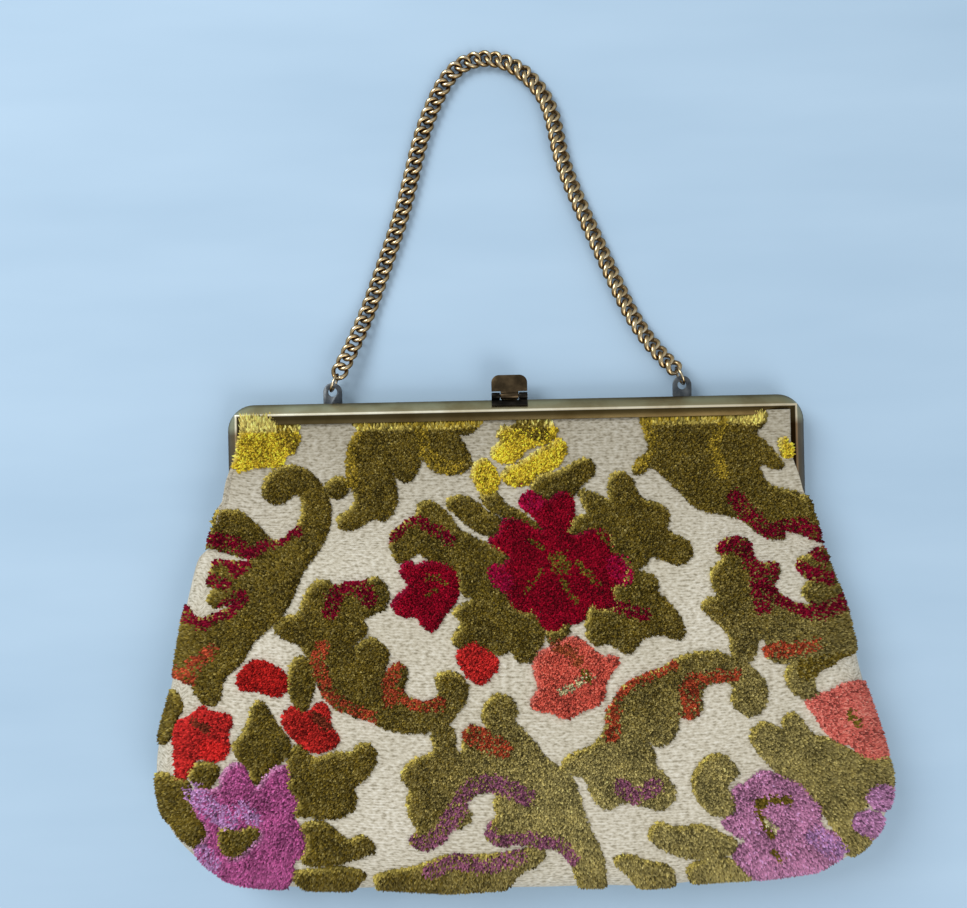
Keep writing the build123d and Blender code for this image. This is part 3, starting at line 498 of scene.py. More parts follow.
def puffed(points, across, edge_y, left, right):
    """The front cloth's row where it swells out over the arms before it goes under their lips."""
    tucked = eased(edge_y, *TUCK_HEIGHTS)
    share = np.abs(across)
    back_under = 1 - tucked * eased(share, *BACK_UNDER_SHARES)
    reaching = eased(share, *REACH_SHARES) * back_under
    lifted = eased(share, *LIFT_SHARES) * back_under
    start = 1 - (1 - PUFF_START_SHARE) * tucked
    for hand, edge, table in ((-1, -left, LEFT_PUFF), (1, right, RIGHT_PUFF)):
        heights, reaches = np.array(table).T * MM
        reach = edge * start
        if edge_y > heights[0]:
            reach = max(reach, np.interp(edge_y, heights, reaches))
        here = across * hand > 0
        cover = eased(edge_y, *COVER_HEIGHTS) * eased(reach, *COVER_REACHES)
        points[:, 0] *= 1 + (reach / (edge * start) - 1) * reaching * here
        points[:, 2] += np.maximum(PUFF_LIFT - points[:, 2], 0) * lifted * here * cover
    return points


def drawn_in(points, across):
    """The row with the bag's lower edge and sides drawn in by the seam."""
    low = eased(points[:, 1], *SIDE_DRAW_HEIGHTS)
    points[:, 0] -= np.sign(across) * SIDE_DRAW * low * eased(np.abs(across), *SIDE_DRAW_SHARES)
    points[:, 1] += BOTTOM_DRAW * eased(points[:, 1], *BOTTOM_DRAW_HEIGHTS)
    return points


def smooth_row(side, across, along, form="over arms"):
    """Points of the cloth's outside in one row, without small dents: as modelled, under or over the arms."""
    drop = along**ROW_CROWDING * math.pi / 2
    down = full_sine(drop, BOTTOM_FULLNESS)
    corner_y, top_y = CORNER_SHARE * BAG_HEIGHT, TOP_Y - CLOTH_TUCK
    edge_y = top_y + (corner_y - top_y) * down
    free = (FLARE_START_SHARE - edge_y / BAG_HEIGHT) / (FLARE_START_SHARE - FLARE_END_SHARE)
    loose = smooth_step(free / 2)
    framed = MEETING_HEIGHT + side * CLOTH_SEAT
    edge_z = framed + (SEAM_HEIGHT + side * SEAM_GAP / 2 - framed) * loose
    left, right = -edge_x(LEFT_EDGE_SHARES, edge_y), edge_x(RIGHT_EDGE_SHARES, edge_y)
    turn = across * math.pi / 2
    x = (left + right) / 2 + (right - left) / 2 * full_sine(turn, SIDE_FULLNESS)
    y = edge_y - BOTTOM_SAG_SHARE * BAG_HEIGHT * (1 - across**2) * down
    round_over = np.maximum(full_cosine(turn, SIDE_FULLNESS), 0) ** (3 - 2 * loose)
    gentle, quick = FRONT_RISE if side > 0 else BACK_RISE
    rise = 1 - (1 - min(1.0, down**gentle)) ** quick
    lift = rise * full_cosine(drop, BOTTOM_FULLNESS) * round_over
    far_z = FRONT_SWELL if side > 0 else -BACK_DIP
    points = np.stack([x, y, edge_z + (far_z - edge_z) * lift], axis=1)
    if form != "as modelled":
        points = drawn_in(points, across)
    return puffed(points, across, edge_y, left, right) if side > 0 and form == "over arms" else points


def cloth_normals(side, across, along, form="over arms"):
    step = NORMAL_STEP_SHARE
    across = np.clip(across, step - 1, 1 - step)
    along = min(1 - step, max(step, along))
    ahead, behind = (smooth_row(side, across + way * step, along, form) for way in (1, -1))
    below, above = (smooth_row(side, across, along + way * step, form) for way in (1, -1))
    over, down = ahead - behind, below - above
    normals = np.cross(down, over) * side
    return normals / np.linalg.norm(normals, axis=1)[:, None]


def dents(points, along):
    """How far the cloth sinks below its smooth form: soft sways and the sewn corner folds."""
    x, y = points[:, 0] / MM, points[:, 1] / MM
    long_x, long_y = LONG_SWAY_LENGTHS
    short_x, short_y = SHORT_SWAY_LENGTHS
    sway = np.sin(x / long_x + LONG_SWAY_PHASES[0]) * np.sin(y / long_y + LONG_SWAY_PHASES[1])
    sway += SHORT_SWAY_SHARE * np.sin(x / short_x + y / short_y)
    depth = SWAY * sway * eased(along, *SWAY_START_SHARES)
    pixels = to_pixels(points)
    for fold in CORNER_FOLDS:
        depth = depth + FOLD_DEPTH * np.exp(-((line_distance(pixels, fold) / FOLD_WIDTH) ** 2))
    return depth


def cloth_surface(side, across, along, depth=0.0):
    """Points of one row and the way out of the cloth there."""
    form = "over arms" if depth == 0 else "under arms"
    points = smooth_row(side, across, along, form)
    normals = cloth_normals(side, across, along, form)
    fade = eased(np.abs(across), 1, -EDGE_FADE_SHARE) * eased(along, 1, -EDGE_FADE_SHARE)
    sink = depth + (dents(points, along) * fade if side > 0 else 0)
    return points - normals * np.reshape(sink, (-1, 1)), normals


def weave_runs(points):
    """Distances along the cloth, from its middle column and from its top row."""
    rows, columns = points.shape[:2]
    steps_x = np.linalg.norm(np.diff(points, axis=1), axis=2)
    steps_y = np.linalg.norm(np.diff(points, axis=0), axis=2)
    run_x = np.concatenate([np.zeros((rows, 1)), np.cumsum(steps_x, axis=1)], axis=1)
    run_y = np.concatenate([np.zeros((1, columns)), np.cumsum(steps_y, axis=0)], axis=0)
    return run_x - run_x[:, columns // 2][:, None], run_y


def cloth_mesh(name, side, depth, columns, rows):
    """A grid laid over the cloth, with a map in metres along the surface for its weave."""
    grid = bmesh.new()
    bmesh.ops.create_grid(grid, x_segments=columns, y_segments=rows, size=1.0)
    places = np.array([vert.co[:2] for vert in grid.verts])
    column_of = np.rint((places[:, 0] + 1) / 2 * columns).astype(int)
    row_of = np.rint((1 - places[:, 1]) / 2 * rows).astype(int)
    across = np.linspace(-1, 1, columns + 1)
    points = np.stack([cloth_surface(side, across, row / rows, depth)[0] for row in range(rows + 1)])
    if side < 0:
        points[:, :, 2] = np.clip(points[:, :, 2], depth, SEAM_HEIGHT - SEAM_GAP / 2)
    run_x, run_y = weave_runs(points)
    layer = grid.loops.layers.uv.new("weave")
    for vert, column, row in zip(grid.verts, column_of, row_of):
        vert.co = points[row, column]
        for loop in vert.link_loops:
            loop[layer].uv = (run_x[row, column], -run_y[row, column])
    bmesh.ops.recalc_face_normals(grid, faces=grid.faces)
    middle = min(grid.faces, key=lambda face: face.calc_center_median().xy.length)
    if middle.normal.z * side < 0:
        bmesh.ops.reverse_faces(grid, faces=grid.faces)
    return finished_mesh(grid, name)


def thicken(piece, thickness):
    wall = piece.modifiers.new("cloth", "SOLIDIFY")
    wall.thickness = thickness
    wall.offset = -1.0


# Cloth finishes


def cream_finish():
    """Ribbed ground cloth: short dashes in fine rows, with faint patches of soil, and darker towards the
    frame.
    """
    finish = Finish("cream_ribbed_cloth", Roughness=0.85, Sheen_Weight=0.08, Specular_IOR_Level=0.15)
    weave = finish.node("ShaderNodeUVMap", {"uv_map": "weave"})
    down = finish.node("ShaderNodeSeparateXYZ", None, {"Vector": weave}, output=1)
    waver = finish.noise(weave, 160.0, 2.0)
    row = down * (2 * math.pi / RIB_PITCH) + waver * 4.0
    rib = row.joined("SINE", row) * 0.5 + 0.5
    dash = finish.noise(finish.stretched(weave, (520.0, 1050.0, 1.0)), 1.0, 1.5, 0.6)
    thread = rib * 0.12 + dash * 1.4 - 0.25
    tones = [
        (0.2, from_screen(160, 151, 132)), (0.42, from_screen(200, 192, 175)),
        (0.6, from_screen(219, 212, 197)), (0.85, from_screen(236, 231, 220)),
    ]
    place = finish.place()
    soil = finish.noise(place, 28.0, 4.0)
    aged_and_darkened = finish.ramp(soil, [(0.3, (0.85, 0.83, 0.76)), (0.7, (1.0, 0.99, 0.95))])
    height = finish.node("ShaderNodeSeparateXYZ", None, {"Vector": place}, output=1)
    # Darker towards the frame, from the start height over the run
    darker_to_frame = [(0.0, (1.0, 1.0, 1.0)), (1.0, (0.6, 0.59, 0.57))]
    near_frame = finish.ramp((height - FRAME_DARKENING_START) / FRAME_DARKENING_RUN, darker_to_frame)
    aged_and_darkened = finish.mixed(1.0, aged_and_darkened, near_frame, "MULTIPLY")
    finish.feed("Base Color", finish.mixed(1.0, finish.ramp(thread, tones), aged_and_darkened, "MULTIPLY"))
    finish.bump(thread, THREAD_DEPTH, 0.8)
    return finish.material


def lining_finish():
    finish = Finish("satin_lining", Roughness=0.45, Sheen_Weight=0.2)
    weave = finish.node("ShaderNodeUVMap", {"uv_map": "weave"})
    streak = finish.noise(finish.stretched(weave, (60.0, 900.0, 1.0)), 1.0)
    colours = [(0.3, from_screen(196, 186, 162)), (0.7, from_screen(214, 205, 182))]
    finish.feed("Base Color", finish.ramp(streak, colours))
    finish.bump(streak, SATIN_DEPTH, 0.4)
    return finish.material


def make_cloth():
    """The two outer cloths and their linings, in the order front, back, front lining, back lining."""
    cream, satin = cream_finish(), lining_finish()
    coarse = (CLOTH_COLUMNS // 2, CLOTH_ROWS // 2)
    sheets = (
        ("front_cloth", "front_panel", 1, 0.0, (CLOTH_COLUMNS, CLOTH_ROWS), cream, "cream_cloth"),
        ("back_cloth", "back_panel", -1, 0.0, coarse, cream, "cream_cloth"),
        ("front_satin", "front_lining", 1, LINING_DEPTH, coarse, satin, "lining_cloth"),
        ("back_satin", "back_lining", -1, LINING_DEPTH, coarse, satin, "lining_cloth"),
    )
    pieces = []
    for name, node, side, depth, counts, material, slot_name in sheets:
        piece = add_piece(name, cloth_mesh(name, side, depth, *counts), material)
        thicken(piece, CLOTH_THICKNESS if depth == 0 else LINING_THICKNESS)
        stand_in(piece, node, body="bag" if side < 0 else None)
        pieces.append(piece)
    return pieces


# Colours of the pile as seen
OLIVE_DARK = from_screen(100, 83, 24)
OLIVE_PALE = from_screen(194, 180, 118)
SEEN_COLOURS = {
    "olive_pile": OLIVE_DARK,
    "crimson_pile": from_screen(140, 6, 32),
    "coral_pile": from_screen(222, 98, 80),
    "yellow_pile": from_screen(238, 204, 58),
    "lilac_pile": from_screen(180, 88, 142),
}
WINE = from_screen(124, 10, 38)
RUST = from_screen(170, 72, 44)
PLUM = from_screen(150, 92, 116)
MAGENTA = from_screen(160, 14, 60)
PALE_LILAC = from_screen(190, 140, 190)
RED = from_screen(196, 46, 42)
DARK_RED = from_screen(178, 34, 30)
PALE_CORAL = from_screen(248, 126, 112)
RUST_RED = from_screen(180, 42, 36)
PALE_PLUM = from_screen(196, 134, 170)
PINK_LILAC = from_screen(196, 138, 180)
DARK_BROWN = from_screen(116, 50, 32)
OLIVE = from_screen(116, 98, 34)
DULL_GOLD = from_screen(158, 134, 44)
PALE_GOLD = from_screen(200, 180, 92)
BROWN = from_screen(158, 82, 48)
PALE_OLIVE = from_screen(206, 194, 146)

# Colours of the pile's lit edges, the side the light comes from, and how far a fully lit tuft leans
EDGE_GLOW = {
    "olive_pile": from_screen(196, 176, 88), "crimson_pile": from_screen(150, 22, 56),
    "coral_pile": from_screen(222, 120, 104), "yellow_pile": from_screen(226, 206, 118),
    "lilac_pile": from_screen(206, 150, 184),
}
LIGHT_SIDE = np.array([-0.7, 0.7, 0.1])
GLOW_LEAN = 0.7 * MM
GLOW_SHARE = 0.85

# Paler part of the olive leaves, partly the pile's own colour and partly painted sheen, in pixels: its
# middle and reach, the paler right side, and their strength
PALE_MIDDLE = (590, 810)
PALE_REACH = (150, 110)
PALE_SHARE = 0.62
PALE_RIGHT = (40, 160)
PALE_DOWN = (-300, 220)
PALE_RIGHT_SHARE = 0.42
PALE_SPREAD = (0.02, 0.12)

# Light and dark from tuft to tuft: waves in pixels (pitch, pitch of the bend, bend) and their strength
LOOP_WAVES = ((0.85, 9, 1.0), (0.85, 11, 1.0))
LOOP_SHARE = 0.3
PATCH_WAVES = ((7, 13, 1.3), (8, 15, 1.1))
PATCH_SHARE = 0.1
SPARKLE_SPREAD = (0.92, 0.34)
SPARKLE_LIMITS = (0.3, 2.2)
SHADOW_SHARE = 0.3
GLINT = 0.7
GLINT_SHARE = 0.1

# Parts of a flower in another shade: pile node, colour, half width and line
SHADES = [
    ("coral_pile", RED, 45, [(185, 745), (215, 735)]),
    ("coral_pile", from_screen(226, 46, 42), 9, [(208, 748), (220, 750)]),
    ("coral_pile", DARK_BROWN, 4, [(196, 722), (208, 730)]),
    ("coral_pile", RED, 24, [(470, 655), (485, 670)]),
    ("coral_pile", DARK_RED, 26, [(250, 682), (276, 679)]),
    ("coral_pile", RUST_RED, 32, [(305, 715), (325, 735)]),
    ("coral_pile", DARK_BROWN, 5, [(316, 716), (326, 726)]),
    ("coral_pile", PALE_CORAL, 60, [(836, 706), (874, 730)]),
    ("lilac_pile", PALE_PLUM, 50, [(760, 815), (795, 850)]),
    ("lilac_pile", PINK_LILAC, 24, [(879, 796), (867, 824)]),
    ("lilac_pile", OLIVE, 4, [(756, 804), (772, 799), (788, 800)]),
    ("lilac_pile", PALE_OLIVE, 3, [(762, 818), (774, 828)]),
    ("lilac_pile", OLIVE, 3, [(758, 812), (764, 826), (772, 836)]),
    ("lilac_pile", OLIVE, 2, [(772, 850), (780, 860)]),
]

# Strokes of one colour worked into another, in pixels: colour, half width and line
STROKE_WOBBLE = 1.4
STROKE_MARGIN = 1
STROKE_SHARE = 0.75
STROKES = [
    (WINE, 6, [(207, 535), (222, 540), (233, 541), (248, 554), (240, 570)]),
    (WINE, 5, [(250, 555), (262, 548), (275, 542), (296, 533)]),
    (WINE, 5, [(214, 562), (222, 557), (232, 561), (236, 572)]),
    (WINE, 4, [(210, 580), (226, 586)]),
    (WINE, 7, [(186, 606), (192, 617), (203, 621), (215, 616), (228, 609), (241, 598)]),
    (WINE, 7, [(330, 612), (333, 600), (342, 588), (352, 583), (362, 588), (370, 600)]),
    (WINE, 5, [(391, 537), (400, 530), (410, 520)]),
    (WINE, 5, [(420, 522), (435, 531), (450, 540)]),
    (WINE, 7, [(735, 497), (742, 508), (755, 520), (765, 530), (780, 530), (800, 524), (825, 540)]),
    (WINE, 8, [(718, 547), (732, 541), (748, 550), (757, 570), (762, 605)]),
    (WINE, 6, [(774, 563), (775, 573)]),
    (WINE, 7, [(772, 588), (785, 600), (800, 608), (820, 612), (842, 602)]),
    (WINE, 6, [(797, 567), (808, 573), (825, 578)]),
    (WINE, 5, [(815, 552), (822, 560)]),
    (WINE, 5, [(612, 604), (630, 610), (645, 615)]),
    (RUST, 6, [(195, 665), (213, 650)]),
    (RUST, 7, [(180, 675), (190, 680)]),
    (RUST, 6, [(322, 645), (318, 660), (325, 685), (333, 700), (370, 718)]),
    (RUST, 6, [(390, 700), (390, 680), (397, 668)]),
    (RUST, 5, [(400, 695), (412, 704), (425, 706), (440, 702)]),
    (RUST, 6, [(612, 735), (614, 700), (622, 687), (640, 677), (660, 670), (672, 664)]),
    (RUST, 5, [(690, 680), (710, 677), (735, 675)]),
    (RUST, 8, [(690, 688), (690, 716)]),
    (RUST, 9, [(468, 732), (484, 740), (503, 748)]),
    (RUST, 6, [(765, 650), (790, 650), (812, 645)]),
    (PLUM, 8, [(525, 796), (505, 785), (480, 783), (465, 795), (450, 820), (435, 840), (415, 845)]),
    (PLUM, 6, [(487, 828), (495, 842), (530, 838), (560, 845), (572, 858)]),
    (PLUM, 6, [(430, 870), (455, 860), (480, 865), (500, 862), (520, 855)]),
    (PLUM, 7, [(620, 785), (635, 797), (655, 785)]),
    (DULL_GOLD, 4, [(345, 422), (410, 422), (480, 424)]),
    (DULL_GOLD, 6, [(355, 430), (349, 448), (352, 482)]),
    (DULL_GOLD, 6, [(420, 430), (426, 452), (442, 468), (458, 468)]),
    (DULL_GOLD, 6, [(640, 418), (700, 414), (730, 414)]),
    (PALE_GOLD, 6, [(732, 416), (762, 418)]),
    (DULL_GOLD, 6, [(642, 425), (650, 445), (640, 466)]),
    (DULL_GOLD, 5, [(722, 424), (712, 446), (722, 474)]),
    (OLIVE, 9, [(559, 562), (561, 565)]),
    (OLIVE, 1, [(528, 540), (536, 543), (544, 549)]),
    (OLIVE, 1, [(541, 571), (534, 581), (527, 592)]),
    (OLIVE, 1, [(562, 580), (568, 591), (577, 603)]),
    (OLIVE, 2, [(577, 563), (587, 573), (598, 584)]),
    (OLIVE, 1, [(596, 530), (606, 541), (614, 554)]),
    (OLIVE, 1, [(426, 580), (434, 577), (444, 584)]),
    (OLIVE, 1, [(426, 596), (436, 591)]),
    (OLIVE, 10, [(806, 668), (830, 666), (856, 662)]),
    (BROWN, 5, [(556, 646), (572, 652), (578, 664)]),
    (PALE_OLIVE, 3, [(562, 692), (574, 685), (590, 676)]),
    (OLIVE, 2, [(584, 672), (590, 680)]),
    (OLIVE, 4, [(848, 714), (856, 722)]),
    (OLIVE, 8, [(520, 425), (540, 432)]),
    (DULL_GOLD, 7, [(284, 428), (290, 446)]),
    (MAGENTA, 9, [(522, 496), (533, 503)]),
    (MAGENTA, 9, [(497, 574), (504, 582)]),
    (MAGENTA, 9, [(615, 564), (624, 576)]),
    (PALE_LILAC, 9, [(194, 792), (212, 808), (230, 820)]),
    (PALE_LILAC, 7, [(203, 850), (214, 862)]),
    (PALE_LILAC, 7, [(243, 808), (254, 818)]),
    (PALE_LILAC, 9, [(815, 835), (838, 850)]),
]

# Leaf ends that run on over the two flared corners below the frame's arms, and a tuft beside the right arm
EDGE_LEAVES = [
    ("olive_pile", [(205, 510), (240, 511), (262, 530), (250, 560), (212, 548), (196, 548), (190, 530)]),
    ("olive_pile", [(776, 489), (806, 496), (828, 505), (838, 535), (822, 543), (797, 532), (772, 530)]),
    ("yellow_pile", [(233, 418), (262, 416), (300, 418), (300, 424), (256, 428), (250, 468), (231, 468)]),
    ("yellow_pile", [(778, 438), (786, 437), (793, 448), (792, 458), (784, 458), (779, 449)]),
]


def pile_trees():
    """One search tree over the five pile nodes, and the node each of its faces belongs to."""
    points, faces, owners = [], [], []
    for node in SEEN_COLOURS:
        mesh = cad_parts[node].data
        start = len(points)
        points.extend(vert.co.copy() for vert in mesh.vertices)
        for polygon in mesh.polygons:
            faces.append([start + index for index in polygon.vertices])
            owners.append(node)
    return BVHTree.FromPolygons(points, faces), owners


def even_steps(points, pitch, offset):
    """Shares of a row of points at even steps along it."""
    run = np.concatenate([[0], np.cumsum(np.linalg.norm(np.diff(points, axis=0), axis=1))])
    places = np.arange(offset, run[-1], pitch)
    return np.interp(places, run, np.linspace(0, 1, len(points)))


def inside(pixel, outline):
    """Whether a pixel lies within an outline."""
    odd = False
    for (x0, y0), (x1, y1) in zip(outline, outline[1:] + outline[:1]):
        if (y0 > pixel[1]) != (y1 > pixel[1]) and pixel[0] < x0 + (pixel[1] - y0) / (y1 - y0) * (x1 - x0):
            odd = not odd
    return odd


def find_tufts(draw):
    """Roots of the tufts of each colour, with the way out of the cloth at each."""
    tree, owners = pile_trees()
    found = {node: ([], []) for node in SEEN_COLOURS}
    fine = np.linspace(0.0, 1.0, FINE_STEPS)
    spine = np.concatenate([smooth_row(1, np.zeros(1), along) for along in fine])
    for row, along in enumerate(even_steps(spine, TUFT_ROW_PITCH, 0.0)):
        whole = smooth_row(1, 2 * fine - 1, along)
        offset = TUFT_PITCH * TUFT_STAGGER_SHARES[row % 2]
        across = 2 * even_steps(whole, TUFT_PITCH, offset) - 1
        across = across[np.abs(across) < TUFT_LAST_SHARE]
        feet, up = (find(1, across, along, "as modelled") for find in (smooth_row, cloth_normals))
        roots, ways = cloth_surface(1, across, along)
        for foot, rise, root, way, pixel in zip(feet, up, roots, ways, to_pixels(roots)):
            hit = tree.ray_cast(Vector(foot) + Vector(rise) * PILE_SEARCH, -Vector(rise), PILE_SEARCH)
            node = owners[hit[2]] if hit[0] else None
            for leaf_node, leaf in EDGE_LEAVES:
                if node is None and inside(pixel, leaf):
                    node = leaf_node
            if node:
                found[node][0].append(root + draw.uniform(-1, 1, 3) * (TUFT_JITTER, TUFT_JITTER, 0))
                found[node][1].append(way)
    return {node: (np.array(roots), np.array(ways)) for node, (roots, ways) in found.items()}


def edge_leans(roots):
    """How far each tuft stands towards the edge of the pile, as a vector: nothing well inside."""
    tree = KDTree(len(roots))
    for index, root in enumerate(roots):
        tree.insert(root, index)
    tree.balance()
    leans = np.zeros_like(roots)
    for index, root in enumerate(roots):
        near = [place for place, _, _ in tree.find_range(root, TUFT_REACH)]
        leans[index] = root - np.mean(near, axis=0)
    leans[:, 1] += LIP_LEAN * eased(roots[:, 1], *LIP_LEAN_HEIGHTS)
    return leans


def wave(run, other, pitch, bend_pitch, bend):
    """A wave along one way of the picture, bent along the other."""
    return np.sin(run / pitch + bend * np.sin(other / bend_pitch))


def tuft_colours(node, roots, leans, draw):
    """The colour of each tuft: its pile's, paler in places with some painted sheen, lit in places, with the
    strokes worked in.
    """
    pixels = to_pixels(roots)
    count = len(roots)
    colours = np.tile(SEEN_COLOURS[node], (count, 1))
    if node == "olive_pile":
        # Paler olive, partly its own colour and partly painted sheen towards the lower right
        right, down = (pixels - PALE_MIDDLE).T
        pale = PALE_SHARE * np.exp(-((right / PALE_REACH[0]) ** 2) - (down / PALE_REACH[1]) ** 2)
        pale += PALE_RIGHT_SHARE * eased(right, *PALE_RIGHT) * eased(down, *PALE_DOWN)
        pale = np.clip(pale + draw.normal(*PALE_SPREAD, count), 0, 1)[:, None]
        colours = colours * (1 - pale) + np.array(OLIVE_PALE) * pale
    lit = leans @ LIGHT_SIDE / GLOW_LEAN
    glow = np.clip(lit, 0, 1)[:, None] * GLOW_SHARE
    colours = colours * (1 - glow) + np.array(EDGE_GLOW[node]) * glow
    wobbled = pixels + draw.normal(0, STROKE_WOBBLE, pixels.shape)
    for owner, colour, width, line in SHADES:
        if owner == node:
            colours[line_distance(wobbled, line) < width] = colour
    for colour, width, line in STROKES:
        near = line_distance(wobbled, line) < width + STROKE_MARGIN
        colours[near & (draw.random(count) < STROKE_SHARE)] = colour
    column, row = pixels.T
    loops = wave(column, row, *LOOP_WAVES[0]) * wave(row, column, *LOOP_WAVES[1])
    patches = wave(column, row, *PATCH_WAVES[0]) + wave(row, column, *PATCH_WAVES[1])
    sparkle = draw.normal(*SPARKLE_SPREAD, count) + LOOP_SHARE * loops + PATCH_SHARE * patches
    sparkle += SHADOW_SHARE * np.minimum(lit, 0)
    sparkle += GLINT * (draw.random(count) < GLINT_SHARE)
    return colours * np.clip(sparkle, *SPARKLE_LIMITS)[:, None]


def tuft_shape():
    """One tuft: three corners at its root and a tip."""
    tuft = bmesh.new()
    bmesh.ops.create_cone(tuft, segments=3, radius1=1.0, radius2=0.0, depth=1.0)
    tuft.verts.ensure_lookup_table()
    points = np.array([vert.co[:] for vert in tuft.verts])
    faces = np.array([[vert.index for vert in face.verts] for face in tuft.faces])
    tuft.free()
    return points, faces


def tuft_corners(shape, roots, ways, leans, draw):
    """Corners of every tuft: a spread root sunk in the cloth, and a tip that leans and sways."""
    count = len(roots)
    edge = np.clip(np.linalg.norm(leans, axis=1) / EDGE_LEAN, 0, 1)
    height = TUFT_HEIGHT * draw.uniform(*TUFT_HEIGHT_SHARES, count) * (1 - EDGE_DROP_SHARE * edge)
    height *= STEEP_HEIGHT_SHARE + (1 - STEEP_HEIGHT_SHARE) * smooth_step(ways[:, 2] / STEEP_SLOPE)
    side = np.cross(ways, np.array([0.0, 1.0, 0.0]))
    side = side / np.linalg.norm(side, axis=1)[:, None]
    ahead = np.cross(ways, side)
    turn = draw.uniform(0, 2 * math.pi, count)[:, None]
    first = side * np.cos(turn) + ahead * np.sin(turn)
    second = ahead * np.cos(turn) - side * np.sin(turn)
    width = (TUFT_HALF_WIDTH * draw.uniform(*TUFT_WIDTH_SHARES, count))[:, None]
    tip_sway = side * draw.normal(0, TIP_SWAYS[0], (count, 1))
    tip_sway += ahead * draw.normal(0, TIP_SWAYS[1], (count, 1))
    corners = []
    for corner in shape:
        if corner[2] > 0:
            corners.append(roots + ways * height[:, None] + leans * TIP_LEAN_SHARE + tip_sway)
        else:
            spread = (first * corner[0] + second * corner[1]) * width
            corners.append(roots - ways * TUFT_ROOT + spread)
    return np.stack(corners, axis=1)


def tuft_mesh(name, roots, ways, leans, colours, draw):
    """All tufts of one piece in one mesh, with painted shade at their roots and a painted highlight at their
    tips.
    """
    shape, faces = tuft_shape()
    points = tuft_corners(shape, roots, ways, leans, draw).reshape(-1, 3)
    starts = np.arange(len(roots)) * len(shape)
    all_faces = (faces[None] + starts[:, None, None]).reshape(-1, 3)
    mesh = bpy.data.meshes.new(name)
    mesh.from_pydata(points, [], all_faces)
    tint = mesh.color_attributes.new("tuft_colour", "FLOAT_COLOR", "POINT")
    # Painted shade at the roots and a painted highlight at the tips
    shades = np.where(shape[:, 2] > 0, TIP_PAINTED_LIGHT, ROOT_PAINTED_SHADE)
    shaded = np.clip(colours[:, None, :] * shades[None, :, None], 0, 1).reshape(-1, 3)
    tint.data.foreach_set("color", np.concatenate([shaded, np.ones((len(shaded), 1))], axis=1).ravel())
    return mesh


def pile_finish():
    finish = Finish("cut_pile", Roughness=0.85, Sheen_Weight=0.03, Specular_IOR_Level=0.08)
    finish.feed("Base Color", finish.node("ShaderNodeVertexColor", {"layer_name": "tuft_colour"}))
    return finish.material


def make_pile():
    """Tufts of each colour; the olive ones are two pieces, left and right of the middle."""
    draw = np.random.default_rng(TUFT_SEED)
    material = pile_finish()
    pieces = []
    for node, (roots, ways) in find_tufts(draw).items():
        leans = edge_leans(roots)
        colours = tuft_colours(node, roots, leans, draw)
        name = node.replace("_pile", "_tufts")
        parts = [(name, np.full(len(roots), True))]
        if node == "olive_pile":
            parts = [("left_" + name, roots[:, 0] < 0), ("right_" + name, roots[:, 0] >= 0)]
        for part_name, keep in parts:
            mesh = tuft_mesh(part_name, roots[keep], ways[keep], leans[keep], colours[keep], draw)
            piece = add_piece(part_name, mesh, material)
            stand_in(piece, node)
            pieces.append(piece)
    return pieces


# Metal finishes


def gold_finish():
    """Worn plate: pale outside, a painted highlight on the crest, painted shadow down the inner slope,
    darker on the arms and to the right.
    """
    finish = Finish("antique_gold")
    fold = finish.node("ShaderNodeAttribute", {"attribute_name": "fold"}, output=2)
    place = finish.place()
    across, along = (finish.node("ShaderNodeSeparateXYZ", None, {"Vector": place}, axis) for axis in (0, 1))
    grain = finish.noise(finish.stretched(place, (90.0, 90.0, 400.0)), 4.0, 4.0)
    patches = finish.noise(place, 55.0, 5.0, 0.6)
    # Along the fold: a painted highlight on the crest and painted shadow on the inner slope below it
    painted_crest_highlight = from_screen(255, 250, 226)
    tones = [
        (0.0, from_screen(120, 106, 74)), (0.22, from_screen(132, 122, 92)),
        (0.34, from_screen(188, 177, 136)), (0.565, from_screen(202, 189, 148)),
        (0.58, painted_crest_highlight), (0.64, painted_crest_highlight), (0.67, from_screen(82, 72, 45)), (0.8, from_screen(84, 73, 46)),
        (0.9, from_screen(110, 96, 64)), (1.0, from_screen(112, 98, 66)),
    ]
    worn = finish.ramp(patches, [(0.35, (0.66, 0.6, 0.5)), (0.6, (1.0, 1.0, 1.0))])
    dark_arms = [(0.0, (0.38, 0.27, 0.18)), (1.0, (1.0, 1.0, 1.0))]
    arms = finish.ramp((along - ARM_TONE_START) / ARM_TONE_RUN, dark_arms)
    dark_right = [(0.0, (1.0, 1.0, 1.0)), (1.0, (0.66, 0.6, 0.52))]
    side = finish.ramp((across - SIDE_TONE_START) / SIDE_TONE_RUN, dark_right)
    aged_and_darkened = finish.mixed(1.0, finish.mixed(1.0, worn, arms, "MULTIPLY"), side, "MULTIPLY")
    finish.feed("Base Color", finish.mixed(1.0, finish.ramp(fold, tones), aged_and_darkened, "MULTIPLY"))
    # The crest's painted highlight is made less metallic, so that its pale colour shows as painted
    dull = [(0.55, (1, 1, 1)), (0.58, (0.35, 0.35, 0.35)), (0.65, (0.35, 0.35, 0.35)), (0.68, (1, 1, 1))]
    finish.feed("Metallic", finish.ramp(fold, dull))
    finish.feed("Roughness", 0.4 - 0.2 * patches + 0.1 * grain)
    finish.bump(grain, GRAIN_DEPTH, 0.5)
    return finish.material


def plain_metal_finish(name, dark, light, roughness):
    finish = Finish(name, Metallic=1.0)
    place = finish.place()
    patches = finish.noise(place, 240.0, 4.0, 0.6)
    finish.feed("Base Color", finish.ramp(patches, [(0.35, dark), (0.65, light)]))
    finish.feed("Roughness", roughness + 0.25 * (patches - 0.5))
    finish.bump(finish.noise(place, 1500.0, 2.0), SPECK_DEPTH, 0.5)
    return finish.material


# Metal frame


